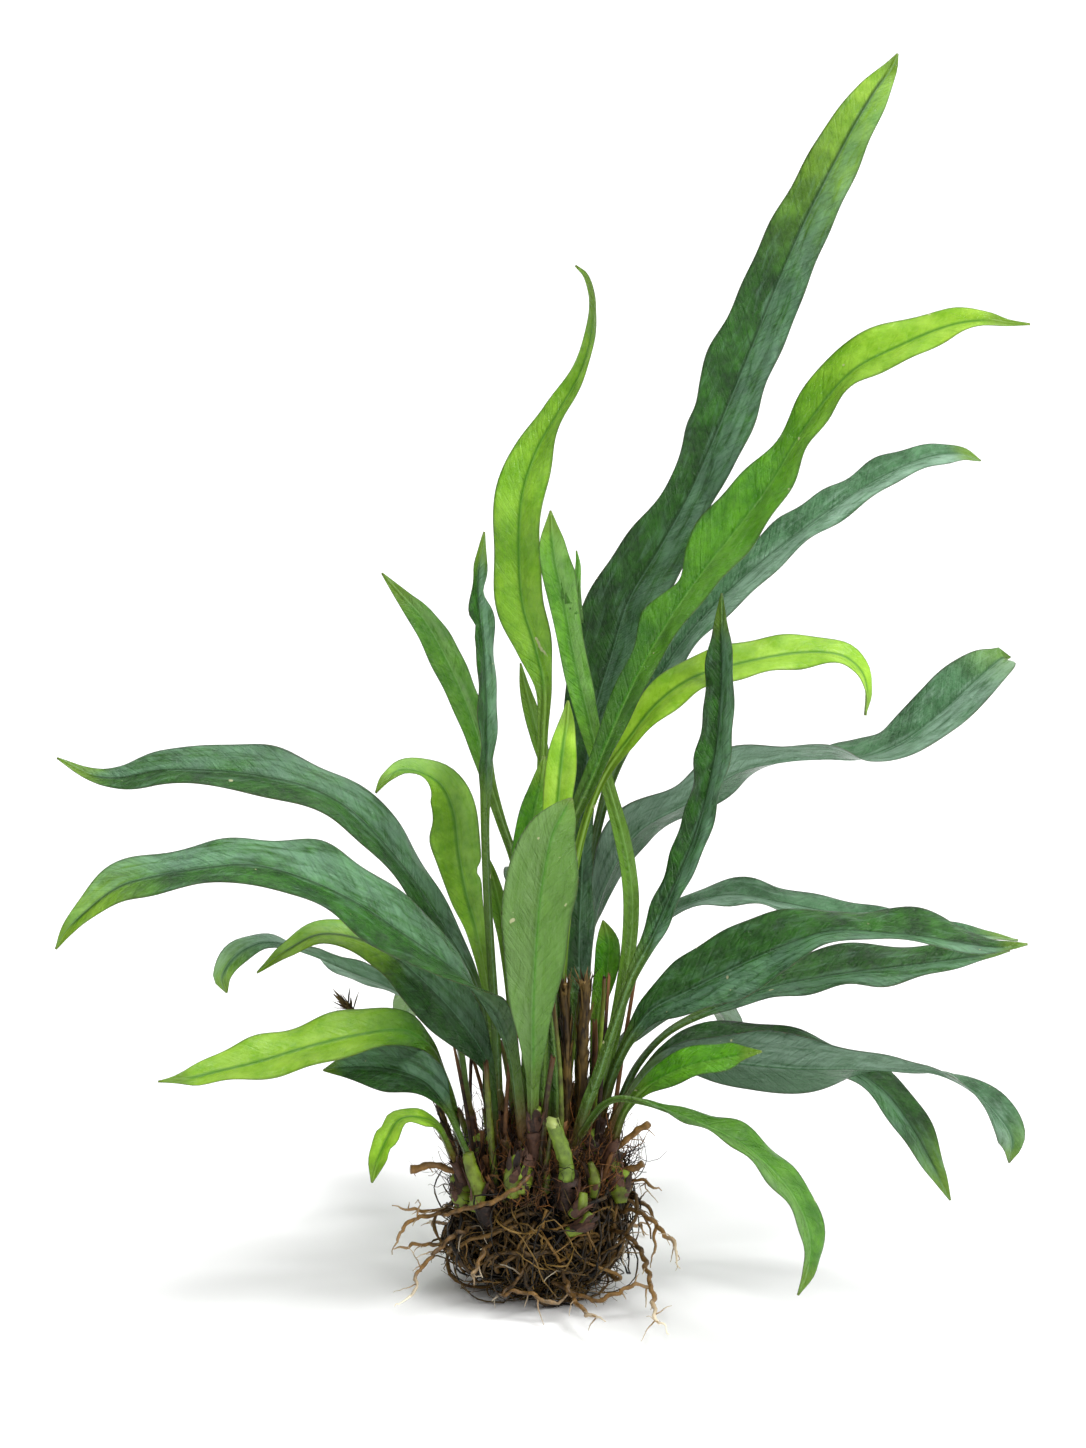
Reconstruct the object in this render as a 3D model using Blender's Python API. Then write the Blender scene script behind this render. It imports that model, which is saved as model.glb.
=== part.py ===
"""Blue oil fern, lifted bare-rooted and standing on its own root ball.

Sizes are in millimetres in the tables and turned to metres when a mesh is made. The origin is the
centre of the flat face that the root ball rests on, +Z is up and the front of the plant faces -Y.
"""

import math
import random

import bmesh
import bpy
from mathutils import Matrix, Vector
from mathutils.bvhtree import BVHTree

MM = 0.001
GAP = 0.5  # clearance between a stem's foot and what carries it
FOOT_LENGTH = 3.0  # a stem's first row stands at least this far off what carries it
FOOT_STEP = 0.2
FOOT_LIMIT = 40.0

# The tables lay every piece out as it looks from the front: across and up in the front view, and
# back, the true depth behind the plant's middle. The eye stands this far off and this much above.
VIEW_DISTANCE = 1600.0
VIEW_TILT = math.radians(12.0)
VIEW_MIDDLE = 238.0
VIEW_MIDDLE_UP = 225.6

# Root ball
BALL_MIDDLE = Vector((-1.0, 1.0, 29.0))
BALL_RADII = Vector((35.0, 32.0, 34.0))
BALL_SQUARENESS = 2.6
BALL_LUMPS = 46
BALL_LUMP = 0.07
LUMP_TIGHTNESS = 30.0

# Fronds
FOLD = math.radians(13.0)  # each half of a blade rises this much from the midrib
RIB_AT_BASE = 1.6
RIB_AT_TIP = 0.5
STATION_SPACING = 17.0
FEWEST_STATIONS = 8

# Rhizomes, stalks and roots
RHIZOME_RADIUS = 5.2
RHIZOME_LIFT = 1.0  # clearance between a rhizome and the ball under it
RHIZOME_END = 0.62
RHIZOME_STEPS = 9
STALK_SPACING = 9.0
ROOT_SPACING = 7.0
FEWEST_RINGS = 4
THINNEST_ROOT = 0.5

# Sides of a tube by its bevel resolution, and the points that test where a stem's foot stands
SIX_SIDES = 1
EIGHT_SIDES = 2
RING_POINTS = 12

SHARP_ANGLE = math.radians(50)

GREENS = {
    "mature": (0.035, 0.105, 0.045),
    "mid": (0.075, 0.190, 0.030),
    "lime": (0.220, 0.400, 0.020),
    "grey": (0.110, 0.190, 0.110),
}

# Each frond from its stalk to its tip: across, up, back, half width, turn of the upper face in
# degrees, where 0 faces the eye, or the sky for the fronds that arch to the back.
FRONDS = {
    "frond_tall": ("mature", (
        (15, 81, 0, 2.4, 0), (14, 111, 4, 2.6, 0), (14, 140, 10, 6.5, 0), (15, 163, 15, 5.8, 0),
        (16, 187, 20, 4.2, 0), (17, 210, 25, 7, 0), (20, 230, 28, 12, -5), (27, 253, 30, 14, -10),
        (34, 275, 32, 15, -12), (47, 297, 34, 13.5, -12), (59, 319, 36, 12.5, -12),
        (77, 361, 38, 12.5, -12), (101, 419, 42, 12, -10), (121, 459, 44, 9.5, -8),
        (132, 478, 45, 6.5, 0), (139, 488, 46, 3, 0), (142, 494, 46, 0.4, 0))),
    "frond_lime_arch": ("lime", (
        (5, 80, -17, 3.0, 0), (3, 115, -13, 2.6, 0), (5, 147, -9, 2.2, 0), (9, 179, -5, 2.2, -10),
        (19, 203, -3, 3.8, -20), (36, 242, 2, 6.5, -25), (50, 267, 5, 7.5, -25),
        (64, 287, 7, 9.5, -25), (76, 302, 9, 11, -25), (91, 322, 10, 11, -30),
        (104, 343, 10, 10.5, -48), (123, 366, 8, 11.5, -48), (143, 377, 4, 11.5, -45),
        (163, 385, 0, 8, -45), (177, 387, -4, 4, -45), (186, 386, -6, 1.6, -30),
        (195, 385.6, -8, 0.4, -20))),
    "frond_grey_reach": ("grey", (
        (9, 78, 24, 2.1, 0), (12, 120, 32, 1.9, 0), (18, 165, 42, 1.9, -10), (27, 203, 48, 2.5, -20),
        (38, 228, 50, 5, -30), (50, 250, 52, 8, -35), (62, 266, 55, 10, -40), (79, 283, 60, 10.5, -42),
        (101, 301, 68, 10, -45), (125, 318, 80, 9.5, -45), (143, 328, 92, 8, -45),
        (157, 333, 102, 6, -40), (168, 333.5, 112, 3, -30), (175, 331, 118, 0.4, -20))),
    "frond_yellow_arch": ("lime", (
        (8, 78, -4, 2.0, 0), (8, 130, -1, 1.8, 0), (13, 170, 3, 1.8, 0), (22, 200, 6, 2.0, -20),
        (34, 219, 11, 4.5, -35), (46, 234, 16, 8, -35), (60, 244, 20, 9.5, -38),
        (80, 250, 24, 9.5, -42), (103, 254, 27, 9, -45), (119, 253, 27, 7.5, -50),
        (127, 247, 26, 5.5, -60), (129.5, 239, 24, 4, -70), (129, 229, 22, 0.4, -70))),
    "frond_side_on": ("mature", (
        (17, 72, -14, 2.4, 0), (22, 85, -13, 2.4, -10), (28, 103, -11, 2.4, -20),
        (35, 123, -9, 2.8, -30), (42, 137, -7, 4.0, -35), (51, 157, -4, 6.8, -38),
        (62, 184, 0, 7.6, -40), (69, 213, 4, 8.2, -40), (71.5, 240, 8, 7.8, -38),
        (71.5, 260, 11, 4.5, -35), (71.5, 272, 13, 1.8, -30), (71.5, 278, 14, 0.4, -30))),
    "frond_s_curve": ("lime", (
        (3, 78, 5, 2.0, 0), (1, 115, 7, 1.9, 0), (0, 155, 10, 1.8, 0), (-1, 190, 13, 1.8, 0),
        (0, 222, 16, 2.2, -10), (0.5, 240, 17, 3.6, -20), (-3, 256, 18, 7.6, -25),
        (-8, 273, 20, 10.5, -27), (-9.5, 292, 24, 10.8, -27), (-8.5, 316, 29, 10.5, -27),
        (-3, 334, 32, 9.5, -35), (6, 350, 35, 8, -55), (15, 366, 38, 6, -62), (19.5, 381, 40, 4.5, -65),
        (20.5, 395, 41, 3, -65), (17.5, 405, 41, 1.6, -50), (13, 409, 40, 0.4, -30))),
    "frond_forked_tip": ("mid", (
        (20, 71, 2, 2.2, 0), (24, 85, 4, 2.4, 0), (29, 105, 6, 2.8, 10), (34, 135, 8, 3.2, 15),
        (35, 158, 11, 3.4, 15), (32, 178, 13, 3.4, 15), (26, 200, 14, 3.0, 10), (21, 216, 14, 3.8, 0),
        (16, 236, 13, 5.0, 0), (11.5, 256, 12, 5.4, 0), (8, 275, 10, 5.8, 0), (4.5, 291, 8, 5.8, 0),
        (3.5, 300, 7, 4.5, 0), (3, 311, 6, 0.4, 0))),
    "frond_left_narrow": ("mid", (
        (-6, 78, 8, 2.0, 0), (-6, 115, 12, 1.8, 0), (-8, 147, 16, 1.8, 0), (-11, 169, 20, 1.9, 0),
        (-17, 187, 23, 2.1, 10), (-22, 203, 26, 3.0, 15), (-26, 219, 29, 5, 15), (-32, 236, 33, 6.3, 15),
        (-40, 253, 38, 6.5, 15), (-48, 267, 43, 5.5, 15), (-56, 276, 47, 3.2, 15),
        (-64.5, 286, 50, 0.4, 10))),
    "frond_notched": ("mature", (
        (-18, 77, -6, 2.1, 0), (-19, 105, -4, 1.9, 0), (-21, 135, -2, 1.8, 0), (-22.5, 160, 0, 1.8, 20),
        (-23.5, 190, 2, 2.4, 40), (-23, 215, 4, 5, 52), (-23, 235, 6, 6.2, 55), (-24, 255, 8, 6.2, 55),
        (-26, 273, 10, 6.5, 50), (-26, 287, 11, 4.5, 50), (-24.5, 297, 12, 1.8, 40),
        (-23.5, 302.5, 12, 0.4, 30))),
    "frond_slip": ("mid", (
        (0, 78, 18, 1.7, 0), (0, 115, 22, 1.5, 0), (1, 155, 25, 1.5, 0), (2, 190, 28, 1.6, 0),
        (1, 208, 30, 2.4, 10), (-2, 220, 31, 3.2, 10), (-5, 231, 32, 3.2, 10), (-7.5, 241, 33, 2.0, 0),
        (-9, 250, 34, 0.4, 0))),
    "frond_yellow_short": ("lime", (
        (0, 80, -18, 1.8, 0), (1, 120, -16, 1.7, 0), (3, 160, -16, 2.6, 0), (5, 185, -17, 5.2, 0),
        (6.5, 203, -18, 6.2, 5), (8, 217, -18, 5.4, 5), (9.5, 227, -17, 3.0, 5), (10, 235, -16, 0.4, 0))),
    "frond_lime_short": ("lime", (
        (-7, 79, -6, 1.8, 0), (-7, 115, -6, 1.8, 0), (-8, 150, -5, 4.0, 0), (-7, 172, -4, 6.0, 5),
        (-4, 190, -3, 5.5, 5), (-1, 203, -2, 3.5, 5), (0.5, 213, 0, 0.4, 0))),
    "frond_front": ("mid", (
        (-4, 73, -29, 2.3, 180), (-4, 85, -34, 3.0, 180), (-4, 97, -39, 5.5, 180),
        (-4, 113, -43, 9.0, 185), (-3, 135, -46, 12.5, 188), (-1.5, 154, -48, 14.3, 190),
        (0.5, 167, -49, 13.8, 190), (3.5, 181, -49, 10.5, 190), (8, 190, -48, 6, 185),
        (11.5, 196, -47, 0.5, 180))),
    "frond_left_top": ("mature", (
        (-22, 77, 2, 2.2, 20), (-23, 98, 3, 2.0, 25), (-26, 116, 4, 2.4, 30), (-32, 131, 4, 4.5, 40),
        (-45, 152, 4, 8.5, 48), (-55, 167, 3, 10.5, 50), (-67, 181, 2, 12.2, 50),
        (-80, 193, 1, 13.8, 50), (-95, 200.5, 0, 14.4, 50), (-115, 205, 0, 14.2, 50),
        (-134, 207, 2, 13, 50), (-153, 207, 5, 10.5, 50), (-169, 204, 8, 7, 50), (-181, 205, 10, 3.5, 40),
        (-194.5, 212, 12, 0.4, 30))),
    "frond_left_long": ("mature", (
        (-10, 77, -25, 2.6, 150), (-13, 96, -29, 3.4, 145), (-19, 111, -34, 6.5, 130),
        (-28, 120, -41, 10.5, 90), (-41, 131, -46, 13, 52), (-57, 142, -50, 14.5, 42),
        (-77, 155, -54, 15.5, 42), (-97, 164, -58, 15, 44), (-117, 169, -61, 14, 46),
        (-137, 167.5, -64, 11, 48), (-157, 164, -67, 11, 46), (-170, 160, -69, 9.5, 45),
        (-182, 151, -71, 6, 40), (-190, 143, -72, 3, 35), (-195, 135.5, -73, 0.4, 30))),
    "frond_left_lime_tip": ("mature", (
        (-19, 62, -15, 2.2, 60), (-20, 78, -17, 2.2, 55), (-23, 90, -19, 4, 40), (-30, 102, -21, 9, 25),
        (-39, 113, -23, 13, 20), (-50, 124, -26, 13.5, 20), (-62, 134, -30, 10.5, 30),
        (-76, 140, -35, 9, 48), (-90, 141, -39, 7.5, 50), (-102, 135, -43, 4.5, 45),
        (-109, 130, -45, 2, 40), (-114.5, 126, -47, 0.4, 30))),
    "frond_left_drooping": ("grey", (
        (-30, 60, -6, 1.9, 60), (-31, 80, -4, 1.7, 60), (-34, 98, -1, 1.7, 60), (-43, 110, 2, 2.4, 90),
        (-60, 120, 4, 4.5, 125), (-77, 127, 5, 6.5, 130), (-94, 134, 5, 6, 95), (-110, 138, 4, 6, 60),
        (-121, 134, 2, 6, 40), (-128, 125, 0, 4.5, 25), (-126.5, 118, -1, 0.4, 20))),
    "frond_left_lime": ("lime", (
        (-34, 60, 6, 2.0, 60), (-36, 74, 6, 1.8, 60), (-41, 88, 5, 2.0, 50), (-47, 98, 3, 4, 40),
        (-56, 103, 0, 8, 35), (-74, 101, -5, 11.5, 38), (-95, 96, -11, 12, 38), (-115, 90, -17, 10.5, 38),
        (-130, 86.5, -21, 7.2, 38), (-140, 84, -24, 4.5, 35), (-148, 83, -26, 1.6, 30),
        (-154, 82.5, -28, 0.4, 30))),
    "frond_left_low": ("mature", (
        (-26, 38, -24, 3.0, 80), (-29, 50, -23, 2.4, 70), (-34, 62, -20, 2.2, 60), (-39, 72, -15, 3.2, 50),
        (-46, 81, -10, 8.5, 35), (-56, 86, -5, 11.5, 30), (-67, 88, -2, 10.5, 30), (-78, 88, 0, 6, 30),
        (-88, 87, 1, 0.4, 30))),
    "frond_left_curled": ("lime", (
        (-33, 38, -15, 1.8, 60), (-36, 52, -22, 1.6, 60), (-42, 64, -30, 2.6, 60), (-50, 68, -38, 5, 55),
        (-57.5, 67, -42, 6.2, 50), (-62, 60, -46, 6, 35), (-66, 51, -49, 4, 25),
        (-68.5, 42, -51, 0.4, 20))),
    "frond_folded_tip": ("mid", (
        (-20, 78, 8, 1.9, 40), (-21, 100, 10, 1.7, 30), (-23, 120, 13, 1.9, 20), (-27, 143, 17, 4.2, 10),
        (-31, 158, 19, 7, 0), (-34, 174, 20, 9.3, 0), (-36, 190, 20, 9.3, 5), (-41, 201, 18, 8.5, 30),
        (-49, 206, 15, 7, 55), (-57, 207, 11, 5.5, 60), (-63, 203, 8, 3, 50), (-67, 198, 6, 0.4, 40))),
    "frond_sliver": ("lime", (
        (-12, 78, 22, 1.6, 0), (-13, 110, 24, 1.4, 0), (-15, 138, 26, 2.8, 0), (-18, 154, 28, 3.4, 0),
        (-21, 166, 30, 2.4, 0), (-23, 174, 31, 0.4, 0))),
    "frond_young": ("lime", (
        (20, 76, 9, 1.8, 0), (20.5, 95, 10, 1.8, 0), (22, 112, 11, 3.0, 0), (25, 126, 12, 4.8, 0),
        (26, 137, 13, 5.0, 0), (25, 143, 14, 3, 0), (24, 147, 14, 0.4, 0))),
    "frond_twisted": ("grey", (
        (15, 78, 14, 2.1, -60), (17, 110, 18, 1.9, -90), (19, 140, 22, 2.4, -120), (24, 160, 25, 7, -135),
        (37, 182, 28, 11.5, -135), (59, 195, 33, 12, -130), (79, 207, 38, 12, -125),
        (97, 211, 44, 12, -110), (113, 212, 50, 12, -92), (127, 212, 56, 12, -65), (143, 218, 62, 13, -45),
        (159, 230, 68, 13, -35), (172, 242, 74, 12.5, -30), (180, 249, 79, 10, -30),
        (184, 252, 86, 5, -30), (184, 251, 93, 0.5, -30))),
    "frond_thin_arch": ("grey", (
        (24, 76, 16, 2.0, -60), (27, 100, 22, 1.8, -60), (33, 125, 30, 1.8, -60), (43, 142, 36, 2.5, -60),
        (55, 152, 40, 5.5, -60), (75, 157, 46, 9, -60), (95, 154, 52, 9.5, -60), (115, 150, 58, 9.5, -60),
        (135, 146, 64, 9, -62), (159, 142.5, 72, 7.5, -65), (178, 140.5, 78, 4, -65),
        (190, 139, 82, 0.4, -60))),
    "frond_right_broad": ("mature", (
        (25, 75, -4, 2.4, -30), (29, 88, -6, 2.4, -30), (35, 100, -8, 3, -30), (43, 111, -11, 6.5, -25),
        (58, 119, -15, 12.5, -28), (80, 130, -21, 15, -28), (97, 137, -26, 15, -40),
        (115, 142.5, -31, 14, -58), (135, 142, -36, 13.5, -62), (155, 140, -40, 13, -62),
        (169, 137.5, -43, 9, -62), (183, 136, -45, 4, -55), (194, 137.5, -47, 0.4, -40))),
    "frond_right_under": ("mature", (
        (31, 74, 11, 2.0, -30), (38, 89, 11, 1.9, -40), (50, 102, 10, 2.2, -50), (68, 111, 12, 4, -55),
        (88, 119, 13, 9.5, -55), (105, 123, 14, 13, -52), (123, 126, 14, 14, -50),
        (143, 128.5, 13, 12, -50), (163, 131, 12, 8, -50), (177, 133, 11, 4, -50),
        (187, 135, 10, 0.4, -45))),
    "frond_right_pale": ("grey", (
        (29, 68, -11, 2.4, -110), (38, 83, -12, 2.2, -120), (48, 91, -14, 3.5, -138),
        (62, 92, -16, 9, -150), (80, 90, -18, 13, -150), (102, 88, -20, 13.5, -145),
        (123, 88, -21, 12, -125), (143, 87, -20, 10, -105), (157, 86, -19, 9, -92), (170, 80, -18, 8, -70),
        (181, 70, -17, 8.5, -50), (187.5, 60, -16, 6.5, -35), (186.5, 50, -16, 0.4, -30))),
    "frond_right_drooping": ("mature", (
        (33, 74, 2, 2.1, -40), (42, 88, 1, 2.4, -50), (57, 98, 0, 7, -50), (77, 99, 1, 10, -55),
        (100, 96, 1, 10, -60), (120, 89, 0, 9, -50), (136, 79, -1, 8, -35), (147, 65, -3, 7.5, -30),
        (155, 51, -5, 5.5, -28), (160, 41, -6, 2.5, -28), (163, 35, -7, 0.4, -28))),
    "frond_right_low_arch": ("mid", (
        (21, 70, -27, 2.2, -60), (29, 75.5, -33, 2.0, -70), (39, 74.5, -40, 3.0, -75),
        (51, 70.5, -48, 6.5, -72), (64, 65.5, -56, 9, -62), (79, 58, -65, 9.5, -58),
        (92, 47, -74, 9.5, -55),
        (102, 34, -81, 8.5, -50), (107, 20, -86, 6.5, -45), (106, 7, -90, 3.5, -40),
        (102, -3, -92, 0.4, -40))),
    "frond_right_short": ("lime", (
        (29, 60, -17, 2.0, -30), (33, 71, -20, 1.8, -30), (41, 80, -25, 3.4, -30), (51, 86, -31, 6.5, -32),
        (62, 90, -37, 8, -35), (73, 92, -42, 6.5, -35), (81, 93.5, -46, 3, -30),
        (87.5, 94.5, -49, 0.4, -30))),
    "frond_back_middle": ("mature", (
        (0, 80, 30, 2.2, 0), (0, 118, 42, 2.6, 0), (-2, 148, 64, 9, 0), (-3, 163, 92, 13, 0),
        (-3, 165, 122, 11, 0), (-3, 152, 150, 6, 0), (-3, 138, 166, 0.4, 0))),
    "frond_back_left": ("mid", (
        (-17, 76, 30, 2.0, 20), (-24, 98, 42, 2.4, 20), (-32, 112, 60, 8, 15), (-42, 119, 86, 12, 10),
        (-50, 118, 112, 10, 10), (-55, 108, 136, 5, 5), (-57, 98, 150, 0.4, 0))),
    "frond_back_right": ("mature", (
        (17, 80, 26, 2.0, -20), (28, 93, 42, 2.4, -20), (42, 106, 62, 8, -15), (56, 115, 88, 12, -10),
        (67, 114, 114, 11, -10), (75, 104, 138, 6, -5), (78, 94, 154, 0.4, 0))),
}

BACK_FRONDS = ("frond_back_middle", "frond_back_left", "frond_back_right")

# Dried and cut stalks, laid out as the fronds are: across, up, back, radius.
STALKS = {
    "cut_stalk_lime": ("lime", ((9, 50, -31, 4.0), (7, 58, -33, 4.0), (4, 66, -35, 3.8))),
    "old_stalk_brown": ("dead", ((9.5, 80, -9, 2.2), (9.5, 98, -9, 2.3), (8.5, 121, -8, 2.0))),
    "old_stalk_tan": ("dead", ((15.5, 81, -6.5, 2.5), (16, 98, -9, 3.0), (17, 122, -10, 2.7))),
    "dried_stalk_left": ("dead", (
        (-38, 62, 16, 1.1), (-45, 80, 18, 0.9), (-58, 96, 17, 0.9), (-70, 105, 14, 0.8),
        (-79, 113.5, 12, 1.3))),
}

# Free roots from the ball outwards, laid out as the fronds are: across, up, back, radius.
ROOTS = {
    "root_left_hook": ((-40, 30, -14, 1.6), (-54, 26, -22, 1.5), (-58, 20, -28, 1.2), (-60, 14, -26, 0.8)),
    "root_left_upper": ((-38, 31, -8, 1.4), (-52, 31, -14, 1.2), (-60, 33, -16, 0.8)),
    "root_left_return": ((-40, 18, -8, 1.5), (-50, 17, -12, 1.4), (-60, 16, -18, 0.9)),
    "root_left_long": (
        (-34, 22, -28, 1.7), (-42, 15, -34, 1.6), (-50, 6, -40, 1.4), (-52, -2, -44, 1.2),
        (-60, -8, -46, 0.8)),
    "root_front_down": ((-24, 14, -33, 1.5), (-27, 7, -38, 1.5), (-28, 1, -40, 1.1)),
    "root_front_loop": (
        (-10, 4, -34, 1.3), (-16, -3, -36, 1.3), (-11, -1, -38, 1.4), (-4, -3, -39, 1.5), (4, -6, -40, 1.6),
        (11, -3, -37, 1.0)),
    "root_front_long": (
        (8, 6, -34, 1.6), (11, -2, -42, 1.8), (17, -10, -58, 1.5), (25, -13, -70, 1.0)),
    "root_front_right": (
        (10, 4, -30, 1.6), (20, -5, -36, 1.7), (28, -3, -38, 1.7), (36, 1, -36, 1.5), (44, -1, -34, 1.2),
        (46, -4, -33, 0.9)),
    "root_right_long": (
        (32, 22, -20, 1.8), (39, 15, -32, 1.9), (42, 6, -46, 1.8), (44, -4, -60, 1.7), (45, -12, -72, 1.4),
        (51, -18, -84, 0.9)),
    "root_right_upper": (
        (32, 37, -10, 1.6), (39, 30, -18, 1.7), (46, 24, -26, 1.7), (52, 18, -32, 1.6),
        (54.5, 8, -36, 0.9)),
    "root_right_fork": ((33, 41, 0, 1.5), (40, 34, -6, 1.5), (45, 24, -12, 1.3), (43, 8, -14, 0.8)),
    "root_right_short": ((36, 43, 4, 1.3), (42, 42, 2, 1.2), (48, 38, 0, 0.8)),
    "root_back_left": ((-26, 30, 28, 1.6), (-36, 26, 40, 1.5), (-44, 26, 56, 1.3), (-46, 26, 70, 0.8)),
    "root_back_right": ((24, 28, 30, 1.6), (33, 25, 44, 1.5), (36, 25, 60, 1.2), (44, 26, 72, 0.8)),
    "root_back_middle": ((-2, 26, 34, 1.5), (-4, 22, 46, 1.5), (2, 23, 58, 1.2), (-2, 25, 70, 0.8)),
}

# Rhizomes creep over the ball: compass direction (front is -90) and height angle of each end.
RHIZOMES = {
    "rhizome_front": ((-104, 34), (-110, 80)),
    "rhizome_left": ((-150, 18), (-168, 72)),
    "rhizome_right": ((-28, 20), (-16, 72)),
    "rhizome_back_left": ((138, 22), (118, 74)),
    "rhizome_back_right": ((52, 22), (66, 74)),
}

eye = Vector((
    0.0,
    -VIEW_DISTANCE * math.cos(VIEW_TILT),
    VIEW_MIDDLE + VIEW_DISTANCE * math.sin(VIEW_TILT),
))
sky = Vector((0.0, -600.0, 1600.0))


def seen(across, up, back):
    """The point that shows at across and up in the front view and lies back behind the middle."""
    rise = up - VIEW_MIDDLE_UP
    on_picture = Vector((
        across,
        rise * math.sin(VIEW_TILT),
        VIEW_MIDDLE + rise * math.cos(VIEW_TILT),
    ))
    reach = (back - eye.y) / (on_picture.y - eye.y)
    return eye + (on_picture - eye) * reach


def smooth_rows(rows, spacing, fewest):
    """Rows of numbers read at even steps along a smooth curve through the given rows."""
    spots = [0.0]
    for before, after in zip(rows, rows[1:]):
        spots.append(spots[-1] + max(math.dist(before[:3], after[:3]), 0.01))
    count = max(fewest, round(spots[-1] / spacing) + 1)
    last = len(rows) - 1
    slopes = []
    for i in range(len(rows)):
        low = max(i - 1, 0)
        high = min(i + 1, last)
        span = spots[high] - spots[low]
        slopes.append([(b - a) / span for a, b in zip(rows[low], rows[high])])
    result = []
    part = 0
    for step in range(count):
        place = spots[-1] * step / (count - 1)
        while part < last - 1 and place > spots[part + 1]:
            part += 1
        length = spots[part + 1] - spots[part]
        t = min((place - spots[part]) / length, 1.0)
        start_weight = (1 + 2 * t) * (1 - t) ** 2
        end_weight = t * t * (3 - 2 * t)
        start_pull = t * (1 - t) ** 2 * length
        end_pull = t * t * (t - 1) * length
        result.append([
            start_weight * a + end_weight * b + start_pull * sa + end_pull * sb
            for a, b, sa, sb in zip(rows[part], rows[part + 1], slopes[part], slopes[part + 1])
        ])
    return result


def material(name, colour, roughness):
    finish = bpy.data.materials.new(name)
    finish.use_nodes = True
    shader = finish.node_tree.nodes["Principled BSDF"]
    shader.inputs["Base Color"].default_value = (*colour, 1.0)
    shader.inputs["Roughness"].default_value = roughness
    shader.inputs["Metallic"].default_value = 0.0
    return finish


def add_mesh(name, bm, finish, home):
    """Turns a mesh in millimetres into an object of the plant."""
    bmesh.ops.scale(bm, vec=(MM, MM, MM), verts=bm.verts)
    mesh = bpy.data.meshes.new(name)
    bm.to_mesh(mesh)
    bm.free()
    mesh.shade_smooth()
    mesh.set_sharp_from_angle(angle=SHARP_ANGLE)
    mesh.materials.append(finish)
    home.objects.link(bpy.data.objects.new(name, mesh))


def add_tube(name, rows, bevel_resolution, finish, home):
    """A round tube through rows of a point and a radius in millimetres, with filled ends."""
    curve = bpy.data.curves.new(name, "CURVE")
    curve.dimensions = "3D"
    curve.bevel_depth = MM
    curve.bevel_resolution = bevel_resolution
    curve.use_fill_caps = True
    spline = curve.splines.new("POLY")
    spline.points.add(len(rows) - 1)
    for point, row in zip(spline.points, rows):
        point.co = (row[0] * MM, row[1] * MM, row[2] * MM, 1.0)
        point.radius = row[3]
    curve.materials.append(finish)
    tube = bpy.data.objects.new(name, curve)
    home.objects.link(tube)
    return tube


def loft(rings):
    """A closed skin over a row of blade sections.

    The under side, the later half of each ring, is split along the same diagonals as the upper
    side, so that a blade keeps its thickness where it twists.
    """
    bm = bmesh.new()
    loops = [[bm.verts.new(point) for point in ring] for ring in rings]
    for lower, upper in zip(loops, loops[1:]):
        count = len(lower)
        for i in range(count):
            j = (i + 1) % count
            if i < count / 2:
                bm.faces.new((lower[i], lower[j], upper[j]))
                bm.faces.new((lower[i], upper[j], upper[i]))
            else:
                bm.faces.new((lower[i], lower[j], upper[i]))
                bm.faces.new((lower[j], upper[j], upper[i]))
    bm.faces.new(list(reversed(loops[0])))
    bm.faces.new(loops[-1])
    return bm


def make_ball(rng):
    """The lumpy root ball, cut flat where it rests."""
    bm = bmesh.new()
    bmesh.ops.create_icosphere(bm, subdivisions=4, radius=1.0)
    lumps = [
        (Vector((rng.gauss(0, 1), rng.gauss(0, 1), rng.gauss(0, 1))).normalized(), rng.uniform(-1, 1))
        for _ in range(BALL_LUMPS)
    ]
    for vert in bm.verts:
        way = vert.co.normalized()
        power = BALL_SQUARENESS
        reach = (math.hypot(way.x, way.y) ** power + abs(way.z) ** power) ** (-1 / power)
        swell = sum(height * math.exp(-LUMP_TIGHTNESS * (1 - way.dot(spot))) for spot, height in lumps)
        reach *= 1 + BALL_LUMP * swell
        vert.co = BALL_MIDDLE + Vector(way[i] * BALL_RADII[i] * reach for i in range(3))
    everything = bm.verts[:] + bm.edges[:] + bm.faces[:]
    cut = bmesh.ops.bisect_plane(
        bm, geom=everything, dist=0.01, plane_co=(0, 0, 0), plane_no=(0, 0, -1), clear_outer=True)
    rim = [item for item in cut["geom_cut"] if isinstance(item, bmesh.types.BMEdge)]
    bmesh.ops.edgenet_fill(bm, edges=rim)
    bmesh.ops.recalc_face_normals(bm, faces=bm.faces)
    return bm


def tree_of(meshes, scale):
    """One searchable surface of several meshes, in millimetres once they are scaled."""
    points = []
    faces = []
    for mesh in meshes:
        start = len(points)
        points += [vert.co * scale for vert in mesh.vertices]
        faces += [[i + start for i in face.vertices] for face in mesh.polygons]
    return BVHTree.FromPolygons(points, faces)


def rhizome_rows(ends, ball, rng):
    """A knobby stem that lies on the ball between two directions."""
    rows = []
    last = RHIZOME_STEPS - 1
    for i in range(RHIZOME_STEPS):
        t = i / last
        compass = math.radians(ends[0][0] + (ends[1][0] - ends[0][0]) * t)
        height = math.radians(ends[0][1] + (ends[1][1] - ends[0][1]) * t)
        way = Vector((
            math.cos(compass) * math.cos(height),
            math.sin(compass) * math.cos(height),
            math.sin(height),
        ))
        hit = ball.ray_cast(BALL_MIDDLE + way * 2 * BALL_RADII.x, -way)[0]
        radius = RHIZOME_RADIUS * rng.uniform(0.78, 1.0)
        if i in (0, last):
            radius *= RHIZOME_END
        rows.append([*(hit + way * (RHIZOME_RADIUS + RHIZOME_LIFT)), radius])
    return rows


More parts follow.
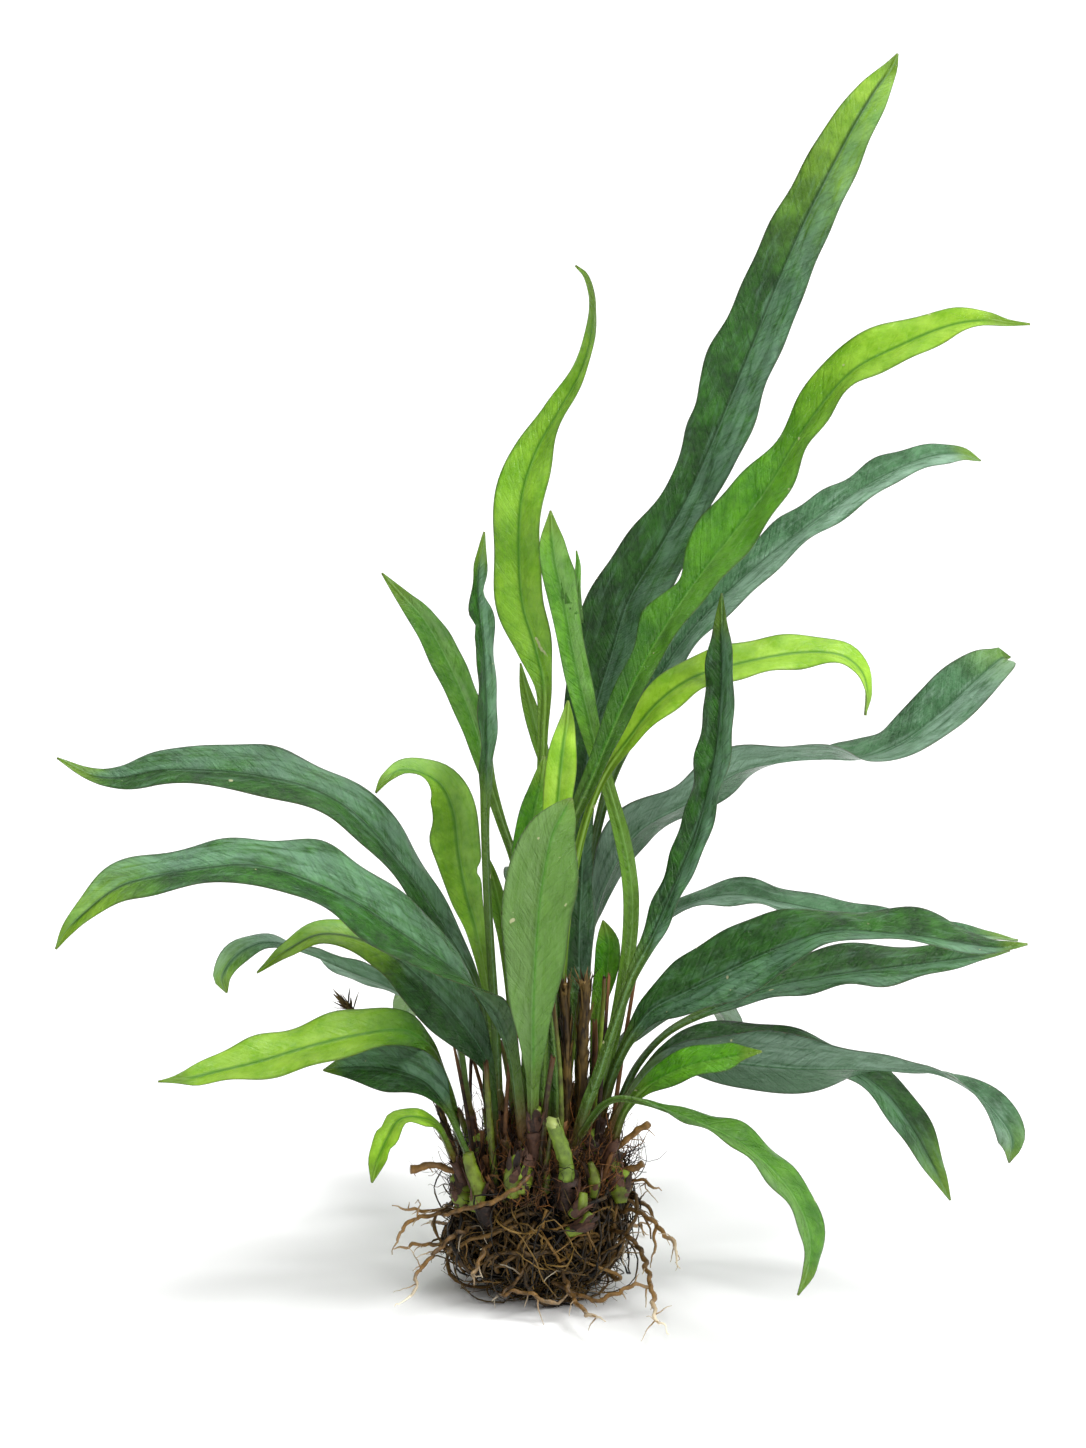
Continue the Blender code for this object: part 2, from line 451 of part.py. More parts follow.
def round_ring(middle, way, row):
    """Points round a stem that runs along way."""
    side = way.orthogonal().normalized()
    other = way.cross(side).normalized()
    points = []
    for i in range(RING_POINTS):
        angle = math.tau * i / RING_POINTS
        points.append(middle + (side * math.cos(angle) + other * math.sin(angle)) * row[3])
    return points


def is_clear(ring, tree):
    """Whether a ring stands outside a surface by the gap at its points and between them."""
    for point, following in zip(ring, ring[1:] + ring[:1]):
        for spot in (point, (point + following) / 2):
            near, normal, _, distance = tree.find_nearest(spot)
            if distance < GAP or (spot - near).dot(normal) < 0:
                return False
    return True


def grounded(rows, tree, ring_at):
    """Rows in true places, with a first row where the stem's foot just clears the surface."""
    true_rows = [[*seen(*row[:3]), *row[3:]] for row in rows]
    while len(true_rows) > 2:
        spot = Vector(true_rows[0][:3])
        near, normal, _, distance = tree.find_nearest(spot)
        if (spot - near).dot(normal) > 0 and distance > FOOT_LENGTH:
            break
        true_rows.pop(0)
    first = Vector(true_rows[0][:3])
    onward = (Vector(true_rows[1][:3]) - first).normalized()
    heart = BALL_MIDDLE + Vector((first.x * 0.6, first.y * 0.6, -6))
    way = ((heart - first).normalized() * 0.5 - onward * 0.5).normalized()
    foot = first
    while (first - foot).length < FOOT_LIMIT:
        lower = foot + way * FOOT_STEP
        if not is_clear(ring_at(lower, -way, true_rows[0]), tree):
            break
        foot = lower
    return [[*foot, *true_rows[0][3:]], *true_rows]


def blade_section(middle, along, half, rib, turn, watcher):
    """Six points round a leaf: two thin edges and a thick midrib, folded up along it."""
    to_watcher = watcher - middle
    face = (to_watcher - along * to_watcher.dot(along)).normalized()
    face = Matrix.Rotation(math.radians(turn), 3, along) @ face
    side = along.cross(face).normalized()
    shoulder = min(0.55 * half, rib * 1.1)
    lift = (half - shoulder) * math.tan(FOLD)
    outline = (
        (-half, lift), (-shoulder, rib * 0.45), (shoulder, rib * 0.45),
        (half, lift), (shoulder, -rib), (-shoulder, -rib),
    )
    return [middle + side * x + face * y for x, y in outline]


def make_frond(rows, tree, watcher):
    """A stalk and blade whose upper face is turned from the watcher."""
    def foot_ring(spot, along, row):
        return blade_section(spot, along, row[3], min(RIB_AT_BASE, 0.85 * row[3]), row[4], watcher)

    rows = smooth_rows(grounded(rows, tree, foot_ring), STATION_SPACING, FEWEST_STATIONS)
    rings = []
    for i, row in enumerate(rows):
        spot = Vector(row[:3])
        before = Vector(rows[max(i - 1, 0)][:3])
        after = Vector(rows[min(i + 1, len(rows) - 1)][:3])
        along = (after - before).normalized()
        t = i / (len(rows) - 1)
        half = max(row[3], 0.35)
        rib = min(RIB_AT_BASE + (RIB_AT_TIP - RIB_AT_BASE) * t, 0.85 * half)
        rings.append(blade_section(spot, along, half, rib, row[4], watcher))
    return loft(rings)


def stem_rows(rows, tree, spacing):
    """A round root or stalk from the ball outwards."""
    rows = smooth_rows(grounded(rows, tree, round_ring), spacing, FEWEST_RINGS)
    return [[*row[:3], max(row[3], THINNEST_ROOT)] for row in rows]


def build():
    for old in list(bpy.data.objects):
        bpy.data.objects.remove(old, do_unlink=True)
    home = bpy.data.collections.new("blue_oil_fern")
    bpy.context.scene.collection.children.link(home)
    rng = random.Random(7)
    greens = {name: material("leaf_" + name, colour, 0.4) for name, colour in GREENS.items()}
    dead = material("dried_stalk", (0.16, 0.09, 0.04), 0.8)
    root_brown = material("root", (0.12, 0.06, 0.02), 0.75)
    ball_brown = material("root_mass", (0.035, 0.018, 0.008), 0.95)
    rhizome_green = material("rhizome", (0.13, 0.12, 0.03), 0.7)

    add_mesh("root_ball", make_ball(rng), ball_brown, home)
    ball = bpy.data.objects["root_ball"].data
    ball_tree = tree_of([ball], 1 / MM)
    carriers = [ball]
    for name, ends in RHIZOMES.items():
        rhizome = add_tube(name, rhizome_rows(ends, ball_tree, rng), EIGHT_SIDES, rhizome_green, home)
        carriers.append(bpy.data.meshes.new_from_object(rhizome))
    crown_tree = tree_of(carriers, 1 / MM)

    for name, (kind, rows) in FRONDS.items():
        watcher = sky if name in BACK_FRONDS else eye
        add_mesh(name, make_frond(rows, crown_tree, watcher), greens[kind], home)
    for name, (kind, rows) in STALKS.items():
        finish = dead if kind == "dead" else greens[kind]
        add_tube(name, stem_rows(rows, crown_tree, STALK_SPACING), EIGHT_SIDES, finish, home)
    for name, rows in ROOTS.items():
        add_tube(name, stem_rows(rows, crown_tree, ROOT_SPACING), SIX_SIDES, root_brown, home)


build()
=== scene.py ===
"""Looks of the blue oil fern: fine fronds, creeping stems and a tangle of wiry roots on the frame.

Tables are in millimetres. The origin is the centre of the face that the root ball rests on, +Z is
up and the front of the plant faces -Y.
"""

import math
import random

import bpy
import numpy as np
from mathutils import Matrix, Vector
from mathutils.bvhtree import BVHTree


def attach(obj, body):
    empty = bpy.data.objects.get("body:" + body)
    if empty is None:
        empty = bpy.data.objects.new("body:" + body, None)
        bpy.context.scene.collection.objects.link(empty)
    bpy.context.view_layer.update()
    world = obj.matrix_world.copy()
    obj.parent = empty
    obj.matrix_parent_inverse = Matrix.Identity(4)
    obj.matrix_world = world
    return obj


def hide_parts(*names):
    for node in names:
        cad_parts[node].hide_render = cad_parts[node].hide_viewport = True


MM = 0.001

# The tables lay every piece out as it looks from the front: across and up in the front view, and
# back, the true depth behind the plant's middle. The eye stands this far off and this much above,
# and looks at the height VIEW_MIDDLE, which the tables call VIEW_MIDDLE_UP.
VIEW_DISTANCE = 1600.0
VIEW_TILT = math.radians(12.0)
VIEW_MIDDLE = 238.0
VIEW_MIDDLE_UP = 225.6
LENS = 99.4

EYE = np.array((
    0.0,
    -VIEW_DISTANCE * math.cos(VIEW_TILT),
    VIEW_MIDDLE + VIEW_DISTANCE * math.sin(VIEW_TILT),
))
SKY = np.array((0.0, -600.0, 1600.0))

FEWEST_ROWS = 8

# Leaves
LEAF_STEP = 2.2  # distance between sections along a frond
LEAF_THICKNESS = 0.5
FOLD = math.tan(math.radians(21.0))  # rise of a blade from its midrib
RIB_AT_BASE = 1.75
RIB_AT_TIP = 0.45
BLADE_HALVES = (2.6, 5.0)  # half widths between which a stalk turns into a blade
EDGE_WAVE = 0.07  # share of the half width by which the edges wander
RIPPLE = 0.20  # share of the half width by which the edges rise and fall
QUILTING = 0.8
LAMINA_SHARES = (1.0, 0.93, 0.8, 0.64, 0.48, 0.32, 0.16)  # from the edge in to the midrib
RIB_SHARES = (1.0, 0.55, 0.0, -0.55, -1.0)

# How deep the feet of fronds and roots reach into the ball, and how near a row may be to it
FROND_DEPTH = 4.0
ROOT_DEPTH = 6.0
FOOT_CLEARANCE = 3.0

# Root ball
BALL_MIDDLE = np.array((-1.0, 1.0, 29.0))
BALL_RADIUS = 34.0
BALL_REACH = 120.0  # beyond every point of the ball
CORE_DEPTH = 7.5

# Creeping stems
RHIZOME_RADIUS = 4.576
RHIZOME_LIFT = 4.16
RHIZOME_STEPS = 9
RHIZOME_STEP = 0.8
RHIZOME_KNOBS = 4
KNOB_SWELLS = np.array((1, 1, 1.05, 1, 0.9, 0.7, 0.3))
RHIZOME_SCALES = 150
NOSE_SCALES = 16

# Stalks, stubs, fibres and roots
STALK_SLIMMING = {"cut_stalk": 0.74, "dried_stalk": 0.76}
STALK_SIDES = 16
TORN_STRIPS = 16
STUB_SIDES = 10
SPENT_STALKS = 0.3  # share of the broken stalk feet that still stand tall
SHEATH_SIDES = 14
CROWN_FIBRES = 1850
FIBRE_STEP = 1.5
FIBRE_DARKNESS = 2.6  # the higher, the fewer light strands
TANGLE_DARKNESS = 2.1
TWIG_STEP = 1.2
ROOT_STEP = 1.1
ROOT_SLIMMING = 0.55  # free roots are slimmer than their plain forms on the frame

# Each frond from its stalk to its tip: across, up, back, half width, turn of the upper face in
# degrees, where 0 faces the eye, or the sky for the fronds that arch to the back.
FRONDS = {
    "frond_tall": ("mature", (
        (15, 81, 0, 2.4, 0), (14, 111, 4, 2.6, 0), (14, 140, 10, 6.5, 0), (15, 163, 15, 5.8, 0),
        (16, 187, 20, 4.2, 0), (17, 210, 25, 7, 0), (20, 230, 28, 12, -5), (27, 253, 30, 14, -10),
        (34, 275, 32, 15, -12), (47, 297, 34, 13.5, -12), (59, 319, 36, 12.5, -12),
        (77, 361, 38, 12.5, -12), (101, 419, 42, 12, -10), (121, 459, 44, 9.5, -8),
        (132, 478, 45, 6.5, 0), (139, 488, 46, 3, 0), (142, 494, 46, 0.4, 0))),
    "frond_lime_arch": ("lime", (
        (5, 80, -17, 3.0, 0), (3, 115, -13, 2.6, 0), (5, 147, -9, 2.2, 0), (9, 179, -5, 2.2, -10),
        (19, 203, -3, 3.8, -20), (36, 242, 2, 6.5, -25), (50, 267, 5, 7.5, -25),
        (64, 287, 7, 9.5, -25), (76, 302, 9, 11, -25), (91, 322, 10, 11, -30),
        (104, 343, 10, 10.5, -48), (123, 366, 8, 11.5, -48), (143, 377, 4, 11.5, -45),
        (163, 385, 0, 8, -45), (177, 387, -4, 4, -45), (186, 386, -6, 1.6, -30),
        (195, 385.6, -8, 0.4, -20))),
    "frond_grey_reach": ("grey", (
        (9, 78, 24, 2.1, 0), (12, 120, 32, 1.9, 0), (18, 165, 42, 1.9, -10), (27, 203, 48, 2.5, -20),
        (38, 228, 50, 5, -30), (50, 250, 52, 8, -35), (62, 266, 55, 10, -40), (79, 283, 60, 10.5, -42),
        (101, 301, 68, 10, -45), (125, 318, 80, 9.5, -45), (143, 328, 92, 8, -45),
        (157, 333, 102, 6, -40), (168, 333.5, 112, 3, -30), (175, 331, 118, 0.4, -20))),
    "frond_yellow_arch": ("lime", (
        (8, 78, -4, 2.0, 0), (8, 130, -1, 1.8, 0), (13, 170, 3, 1.8, 0), (22, 200, 6, 2.0, -20),
        (34, 219, 11, 4.5, -35), (46, 234, 16, 8, -35), (60, 244, 20, 9.5, -38),
        (80, 250, 24, 9.5, -42), (103, 254, 27, 9, -45), (119, 253, 27, 7.5, -50),
        (127, 247, 26, 5.5, -60), (129.5, 239, 24, 4, -70), (129, 229, 22, 0.4, -70))),
    "frond_side_on": ("mature", (
        (17, 72, -14, 2.4, 0), (22, 85, -13, 2.4, -10), (28, 103, -11, 2.4, -20),
        (35, 123, -9, 2.8, -30), (42, 137, -7, 4.0, -35), (51, 157, -4, 6.8, -38),
        (62, 184, 0, 7.6, -40), (69, 213, 4, 8.2, -40), (71.5, 240, 8, 7.8, -38),
        (71.5, 260, 11, 4.5, -35), (71.5, 272, 13, 1.8, -30), (71.5, 278, 14, 0.4, -30))),
    "frond_s_curve": ("lime", (
        (3, 78, 5, 2.0, 0), (1, 115, 7, 1.9, 0), (0, 155, 10, 1.8, 0), (-1, 190, 13, 1.8, 0),
        (0, 222, 16, 2.2, -10), (0.5, 240, 17, 3.6, -20), (-3, 256, 18, 7.6, -25),
        (-8, 273, 20, 10.5, -27), (-9.5, 292, 24, 10.8, -27), (-8.5, 316, 29, 10.5, -27),
        (-3, 334, 32, 9.5, -35), (6, 350, 35, 8, -55), (15, 366, 38, 6, -62), (19.5, 381, 40, 4.5, -65),
        (20.5, 395, 41, 3, -65), (17.5, 405, 41, 1.6, -50), (13, 409, 40, 0.4, -30))),
    "frond_forked_tip": ("mid", (
        (20, 71, 2, 2.2, 0), (24, 85, 4, 2.4, 0), (29, 105, 6, 2.8, 10), (34, 135, 8, 3.2, 15),
        (35, 158, 11, 3.4, 15), (32, 178, 13, 3.4, 15), (26, 200, 14, 3.0, 10), (21, 216, 14, 3.8, 0),
        (16, 236, 13, 5.0, 0), (11.5, 256, 12, 5.4, 0), (8, 275, 10, 5.8, 0), (4.5, 291, 8, 5.8, 0),
        (3.5, 300, 7, 4.5, 0), (3, 311, 6, 0.4, 0))),
    "frond_left_narrow": ("mid", (
        (-6, 78, 8, 2.0, 0), (-6, 115, 12, 1.8, 0), (-8, 147, 16, 1.8, 0), (-11, 169, 20, 1.9, 0),
        (-17, 187, 23, 2.1, 10), (-22, 203, 26, 3.0, 15), (-26, 219, 29, 5, 15), (-32, 236, 33, 6.3, 15),
        (-40, 253, 38, 6.5, 15), (-48, 267, 43, 5.5, 15), (-56, 276, 47, 3.2, 15),
        (-64.5, 286, 50, 0.4, 10))),
    "frond_notched": ("mature", (
        (-18, 77, -6, 2.1, 0), (-19, 105, -4, 1.9, 0), (-21, 135, -2, 1.8, 0), (-22.5, 160, 0, 1.8, 20),
        (-23.5, 190, 2, 2.4, 40), (-23, 215, 4, 5, 52), (-23, 235, 6, 6.2, 55), (-24, 255, 8, 6.2, 55),
        (-26, 273, 10, 6.5, 50), (-26, 287, 11, 4.5, 50), (-24.5, 297, 12, 1.8, 40),
        (-23.5, 302.5, 12, 0.4, 30))),
    "frond_slip": ("mid", (
        (0, 78, 18, 1.7, 0), (0, 115, 22, 1.5, 0), (1, 155, 25, 1.5, 0), (2, 190, 28, 1.6, 0),
        (1, 208, 30, 2.4, 10), (-2, 220, 31, 3.2, 10), (-5, 231, 32, 3.2, 10), (-7.5, 241, 33, 2.0, 0),
        (-9, 250, 34, 0.4, 0))),
    "frond_yellow_short": ("lime", (
        (0, 80, -18, 1.8, 0), (1, 120, -16, 1.7, 0), (3, 160, -16, 2.6, 0), (5, 185, -17, 5.2, 0),
        (6.5, 203, -18, 6.2, 5), (8, 217, -18, 5.4, 5), (9.5, 227, -17, 3.0, 5), (10, 235, -16, 0.4, 0))),
    "frond_lime_short": ("lime", (
        (-7, 79, -6, 1.8, 0), (-7, 115, -6, 1.8, 0), (-8, 150, -5, 4.0, 0), (-7, 172, -4, 6.0, 5),
        (-4, 190, -3, 5.5, 5), (-1, 203, -2, 3.5, 5), (0.5, 213, 0, 0.4, 0))),
    "frond_front": ("mid", (
        (-4, 73, -29, 2.3, 180), (-4, 85, -34, 3.0, 180), (-4, 97, -39, 5.5, 180),
        (-4, 113, -43, 9.0, 185), (-3, 135, -46, 12.5, 188), (-1.5, 154, -48, 14.3, 190),
        (0.5, 167, -49, 13.8, 190), (3.5, 181, -49, 10.5, 190), (8, 190, -48, 6, 185),
        (11.5, 196, -47, 0.5, 180))),
    "frond_left_top": ("mature", (
        (-22, 77, 2, 2.2, 20), (-23, 98, 3, 2.0, 25), (-26, 116, 4, 2.4, 30), (-32, 131, 4, 4.5, 40),
        (-45, 152, 4, 8.5, 48), (-55, 167, 3, 10.5, 50), (-67, 181, 2, 12.2, 50),
        (-80, 193, 1, 13.8, 50), (-95, 200.5, 0, 14.4, 50), (-115, 205, 0, 14.2, 50),
        (-134, 207, 2, 13, 50), (-153, 207, 5, 10.5, 50), (-169, 204, 8, 7, 50), (-181, 205, 10, 3.5, 40),
        (-194.5, 212, 12, 0.4, 30))),
    "frond_left_long": ("mature", (
        (-10, 77, -25, 2.6, 150), (-13, 96, -29, 3.4, 145), (-19, 111, -34, 6.5, 130),
        (-28, 120, -41, 10.5, 90), (-41, 131, -46, 13, 52), (-57, 142, -50, 14.5, 42),
        (-77, 155, -54, 15.5, 42), (-97, 164, -58, 15, 44), (-117, 169, -61, 14, 46),
        (-137, 167.5, -64, 11, 48), (-157, 164, -67, 11, 46), (-170, 160, -69, 9.5, 45),
        (-182, 151, -71, 6, 40), (-190, 143, -72, 3, 35), (-195, 135.5, -73, 0.4, 30))),
    "frond_left_lime_tip": ("mature", (
        (-19, 62, -15, 2.2, 60), (-20, 78, -17, 2.2, 55), (-23, 90, -19, 4, 40), (-30, 102, -21, 9, 25),
        (-39, 113, -23, 13, 20), (-50, 124, -26, 13.5, 20), (-62, 134, -30, 10.5, 30),
        (-76, 140, -35, 9, 48), (-90, 141, -39, 7.5, 50), (-102, 135, -43, 4.5, 45),
        (-109, 130, -45, 2, 40), (-114.5, 126, -47, 0.4, 30))),
    "frond_left_drooping": ("grey", (
        (-30, 60, -6, 1.9, 60), (-31, 80, -4, 1.7, 60), (-34, 98, -1, 1.7, 60), (-43, 110, 2, 2.4, 90),
        (-60, 120, 4, 4.5, 125), (-77, 127, 5, 6.5, 130), (-94, 134, 5, 6, 95), (-110, 138, 4, 6, 60),
        (-121, 134, 2, 6, 40), (-128, 125, 0, 4.5, 25), (-126.5, 118, -1, 0.4, 20))),
    "frond_left_lime": ("lime", (
        (-34, 60, 6, 2.0, 60), (-36, 74, 6, 1.8, 60), (-41, 88, 5, 2.0, 50), (-47, 98, 3, 4, 40),
        (-56, 103, 0, 8, 35), (-74, 101, -5, 11.5, 38), (-95, 96, -11, 12, 38), (-115, 90, -17, 10.5, 38),
        (-130, 86.5, -21, 7.2, 38), (-140, 84, -24, 4.5, 35), (-148, 83, -26, 1.6, 30),
        (-154, 82.5, -28, 0.4, 30))),
    "frond_left_low": ("mature", (
        (-26, 38, -24, 3.0, 80), (-29, 50, -23, 2.4, 70), (-34, 62, -20, 2.2, 60), (-39, 72, -15, 3.2, 50),
        (-46, 81, -10, 8.5, 35), (-56, 86, -5, 11.5, 30), (-67, 88, -2, 10.5, 30), (-78, 88, 0, 6, 30),
        (-88, 87, 1, 0.4, 30))),
    "frond_left_curled": ("lime", (
        (-33, 38, -15, 1.8, 60), (-36, 52, -22, 1.6, 60), (-42, 64, -30, 2.6, 60), (-50, 68, -38, 5, 55),
        (-57.5, 67, -42, 6.2, 50), (-62, 60, -46, 6, 35), (-66, 51, -49, 4, 25),
        (-68.5, 42, -51, 0.4, 20))),
    "frond_folded_tip": ("mid", (
        (-20, 78, 8, 1.9, 40), (-21, 100, 10, 1.7, 30), (-23, 120, 13, 1.9, 20), (-27, 143, 17, 4.2, 10),
        (-31, 158, 19, 7, 0), (-34, 174, 20, 9.3, 0), (-36, 190, 20, 9.3, 5), (-41, 201, 18, 8.5, 30),
        (-49, 206, 15, 7, 55), (-57, 207, 11, 5.5, 60), (-63, 203, 8, 3, 50), (-67, 198, 6, 0.4, 40))),
    "frond_sliver": ("lime", (
        (-12, 78, 22, 1.6, 0), (-13, 110, 24, 1.4, 0), (-15, 138, 26, 2.8, 0), (-18, 154, 28, 3.4, 0),
        (-21, 166, 30, 2.4, 0), (-23, 174, 31, 0.4, 0))),
    "frond_young": ("lime", (
        (20, 76, 9, 1.8, 0), (20.5, 95, 10, 1.8, 0), (22, 112, 11, 3.0, 0), (25, 126, 12, 4.8, 0),
        (26, 137, 13, 5.0, 0), (25, 143, 14, 3, 0), (24, 147, 14, 0.4, 0))),
    "frond_twisted": ("grey", (
        (15, 78, 14, 2.1, -60), (17, 110, 18, 1.9, -90), (19, 140, 22, 2.4, -120), (24, 160, 25, 7, -135),
        (37, 182, 28, 11.5, -135), (59, 195, 33, 12, -130), (79, 207, 38, 12, -125),
        (97, 211, 44, 12, -110), (113, 212, 50, 12, -92), (127, 212, 56, 12, -65), (143, 218, 62, 13, -45),
        (159, 230, 68, 13, -35), (172, 242, 74, 12.5, -30), (180, 249, 79, 10, -30),
        (184, 252, 86, 5, -30), (184, 251, 93, 0.5, -30))),
    "frond_thin_arch": ("grey", (
        (24, 76, 16, 2.0, -60), (27, 100, 22, 1.8, -60), (33, 125, 30, 1.8, -60), (43, 142, 36, 2.5, -60),
        (55, 152, 40, 5.5, -60), (75, 157, 46, 9, -60), (95, 154, 52, 9.5, -60), (115, 150, 58, 9.5, -60),
        (135, 146, 64, 9, -62), (159, 142.5, 72, 7.5, -65), (178, 140.5, 78, 4, -65),
        (190, 139, 82, 0.4, -60))),
    "frond_right_broad": ("mature", (
        (25, 75, -4, 2.4, -30), (29, 88, -6, 2.4, -30), (35, 100, -8, 3, -30), (43, 111, -11, 6.5, -25),
        (58, 119, -15, 12.5, -28), (80, 130, -21, 15, -28), (97, 137, -26, 15, -40),
        (115, 142.5, -31, 14, -58), (135, 142, -36, 13.5, -62), (155, 140, -40, 13, -62),
        (169, 137.5, -43, 9, -62), (183, 136, -45, 4, -55), (194, 137.5, -47, 0.4, -40))),
    "frond_right_under": ("mature", (
        (31, 74, 11, 2.0, -30), (38, 89, 11, 1.9, -40), (50, 102, 10, 2.2, -50), (68, 111, 12, 4, -55),
        (88, 119, 13, 9.5, -55), (105, 123, 14, 13, -52), (123, 126, 14, 14, -50),
        (143, 128.5, 13, 12, -50), (163, 131, 12, 8, -50), (177, 133, 11, 4, -50),
        (187, 135, 10, 0.4, -45))),
    "frond_right_pale": ("grey", (
        (29, 68, -11, 2.4, -110), (38, 83, -12, 2.2, -120), (48, 91, -14, 3.5, -138),
        (62, 92, -16, 9, -150), (80, 90, -18, 13, -150), (102, 88, -20, 13.5, -145),
        (123, 88, -21, 12, -125), (143, 87, -20, 10, -105), (157, 86, -19, 9, -92), (170, 80, -18, 8, -70),
        (181, 70, -17, 8.5, -50), (187.5, 60, -16, 6.5, -35), (186.5, 50, -16, 0.4, -30))),
    "frond_right_drooping": ("mature", (
        (33, 74, 2, 2.1, -40), (42, 88, 1, 2.4, -50), (57, 98, 0, 7, -50), (77, 99, 1, 10, -55),
        (100, 96, 1, 10, -60), (120, 89, 0, 9, -50), (136, 79, -1, 8, -35), (147, 65, -3, 7.5, -30),
        (155, 51, -5, 5.5, -28), (160, 41, -6, 2.5, -28), (163, 35, -7, 0.4, -28))),
    "frond_right_low_arch": ("mid", (
        (21, 70, -27, 2.2, -60), (29, 75.5, -33, 2.0, -70), (39, 74.5, -40, 3.0, -75),
        (51, 70.5, -48, 6.5, -72), (64, 65.5, -56, 9, -62), (79, 58, -65, 9.5, -58),
        (92, 47, -74, 9.5, -55),
        (102, 34, -81, 8.5, -50), (107, 20, -86, 6.5, -45), (106, 7, -90, 3.5, -40),
        (102, -3, -92, 0.4, -40))),
    "frond_right_short": ("lime", (
        (29, 60, -17, 2.0, -30), (33, 71, -20, 1.8, -30), (41, 80, -25, 3.4, -30), (51, 86, -31, 6.5, -32),
        (62, 90, -37, 8, -35), (73, 92, -42, 6.5, -35), (81, 93.5, -46, 3, -30),
        (87.5, 94.5, -49, 0.4, -30))),
    "frond_back_middle": ("mature", (
        (0, 80, 30, 2.2, 0), (0, 118, 42, 2.6, 0), (-2, 148, 64, 9, 0), (-3, 163, 92, 13, 0),
        (-3, 165, 122, 11, 0), (-3, 152, 150, 6, 0), (-3, 138, 166, 0.4, 0))),
    "frond_back_left": ("mid", (
        (-17, 76, 30, 2.0, 20), (-24, 98, 42, 2.4, 20), (-32, 112, 60, 8, 15), (-42, 119, 86, 12, 10),
        (-50, 118, 112, 10, 10), (-55, 108, 136, 5, 5), (-57, 98, 150, 0.4, 0))),
    "frond_back_right": ("mature", (
        (17, 80, 26, 2.0, -20), (28, 93, 42, 2.4, -20), (42, 106, 62, 8, -15), (56, 115, 88, 12, -10),
        (67, 114, 114, 11, -10), (75, 104, 138, 6, -5), (78, 94, 154, 0.4, 0))),
}

BACK_FRONDS = ("frond_back_middle", "frond_back_left", "frond_back_right")

# Points of a torn frond end beyond its main blade, laid out as the fronds are.
TORN_POINTS = {
    "frond_forked_tip": (
        ((10.5, 274, 10, 2.8, 0), (9.5, 284, 9, 2.4, 0), (9.2, 292, 9, 0.3, 0)),
        ((13.5, 266, 11, 2.8, 0), (13.2, 280, 10, 2.0, 0), (14, 289, 9, 1.1, 10),
         (13.4, 295, 9, 0.25, 10)),
    ),
}

# How far the young lime green runs into each frond: strength at the tip and where it starts,
# as a share of the frond's length.
YOUNG_TIPS = {
    "frond_tall": (0.9, 0.76),
    "frond_left_top": (0.7, 0.90),
    "frond_left_long": (0.9, 0.78),
    "frond_left_lime_tip": (1.0, 0.56),
    "frond_left_drooping": (0.7, 0.80),
    "frond_right_broad": (1.0, 0.96),
    "frond_folded_tip": (0.5, 0.3),
    "frond_s_curve": (0.55, 0.35),
    "frond_lime_arch": (1.0, 0.68),
    "frond_yellow_arch": (1.3, 0.15),
    "frond_left_lime": (1.0, 0.35),
    "frond_left_curled": (0.9, 0.30),
    "frond_yellow_short": (1.0, 0.30),
    "frond_grey_reach": (0.7, 0.95),
    "frond_right_drooping": (0.5, 0.80),
}
PLAIN_TIP = (0.45, 0.90)

# Painted shade on each frond, which darkens its green: how much all over, how much more at its foot, where
# the fronds shade each other, and where that ends.
FROND_PAINTED_SHADE = {
    "frond_front": (0.34, 0.1, 0.6),
    "frond_tall": (0.22, 0.45, 0.7),
    "frond_right_pale": (0.36, 0.4, 0.6),
    "frond_twisted": (0.2, 0.6, 0.7),
    "frond_side_on": (0.1, 0.4, 0.6),
    "frond_right_under": (0.25, 0.4, 0.6),
    "frond_lime_arch": (0.0, 0.95, 0.85),
    "frond_yellow_arch": (0.0, 0.7, 0.7),
    "frond_folded_tip": (0.0, 0.2, 0.4),
    "frond_left_top": (0.22, 0.45, 0.66),
    "frond_left_lime_tip": (0.16, 0.8, 0.8),
    "frond_left_low": (0.18, 0.4, 0.7),
    "frond_notched": (0.2, 0.4, 0.7),
    "frond_right_drooping": (0.18, 0.5, 0.7),
    "frond_left_narrow": (0.28, 0.45, 0.7),
    "frond_forked_tip": (0.02, 0.3, 0.6),
    "frond_right_low_arch": (0.3, 0.4, 0.7),
}
PLAIN_PAINTED_SHADE = (0.03, 0.6, 0.66)

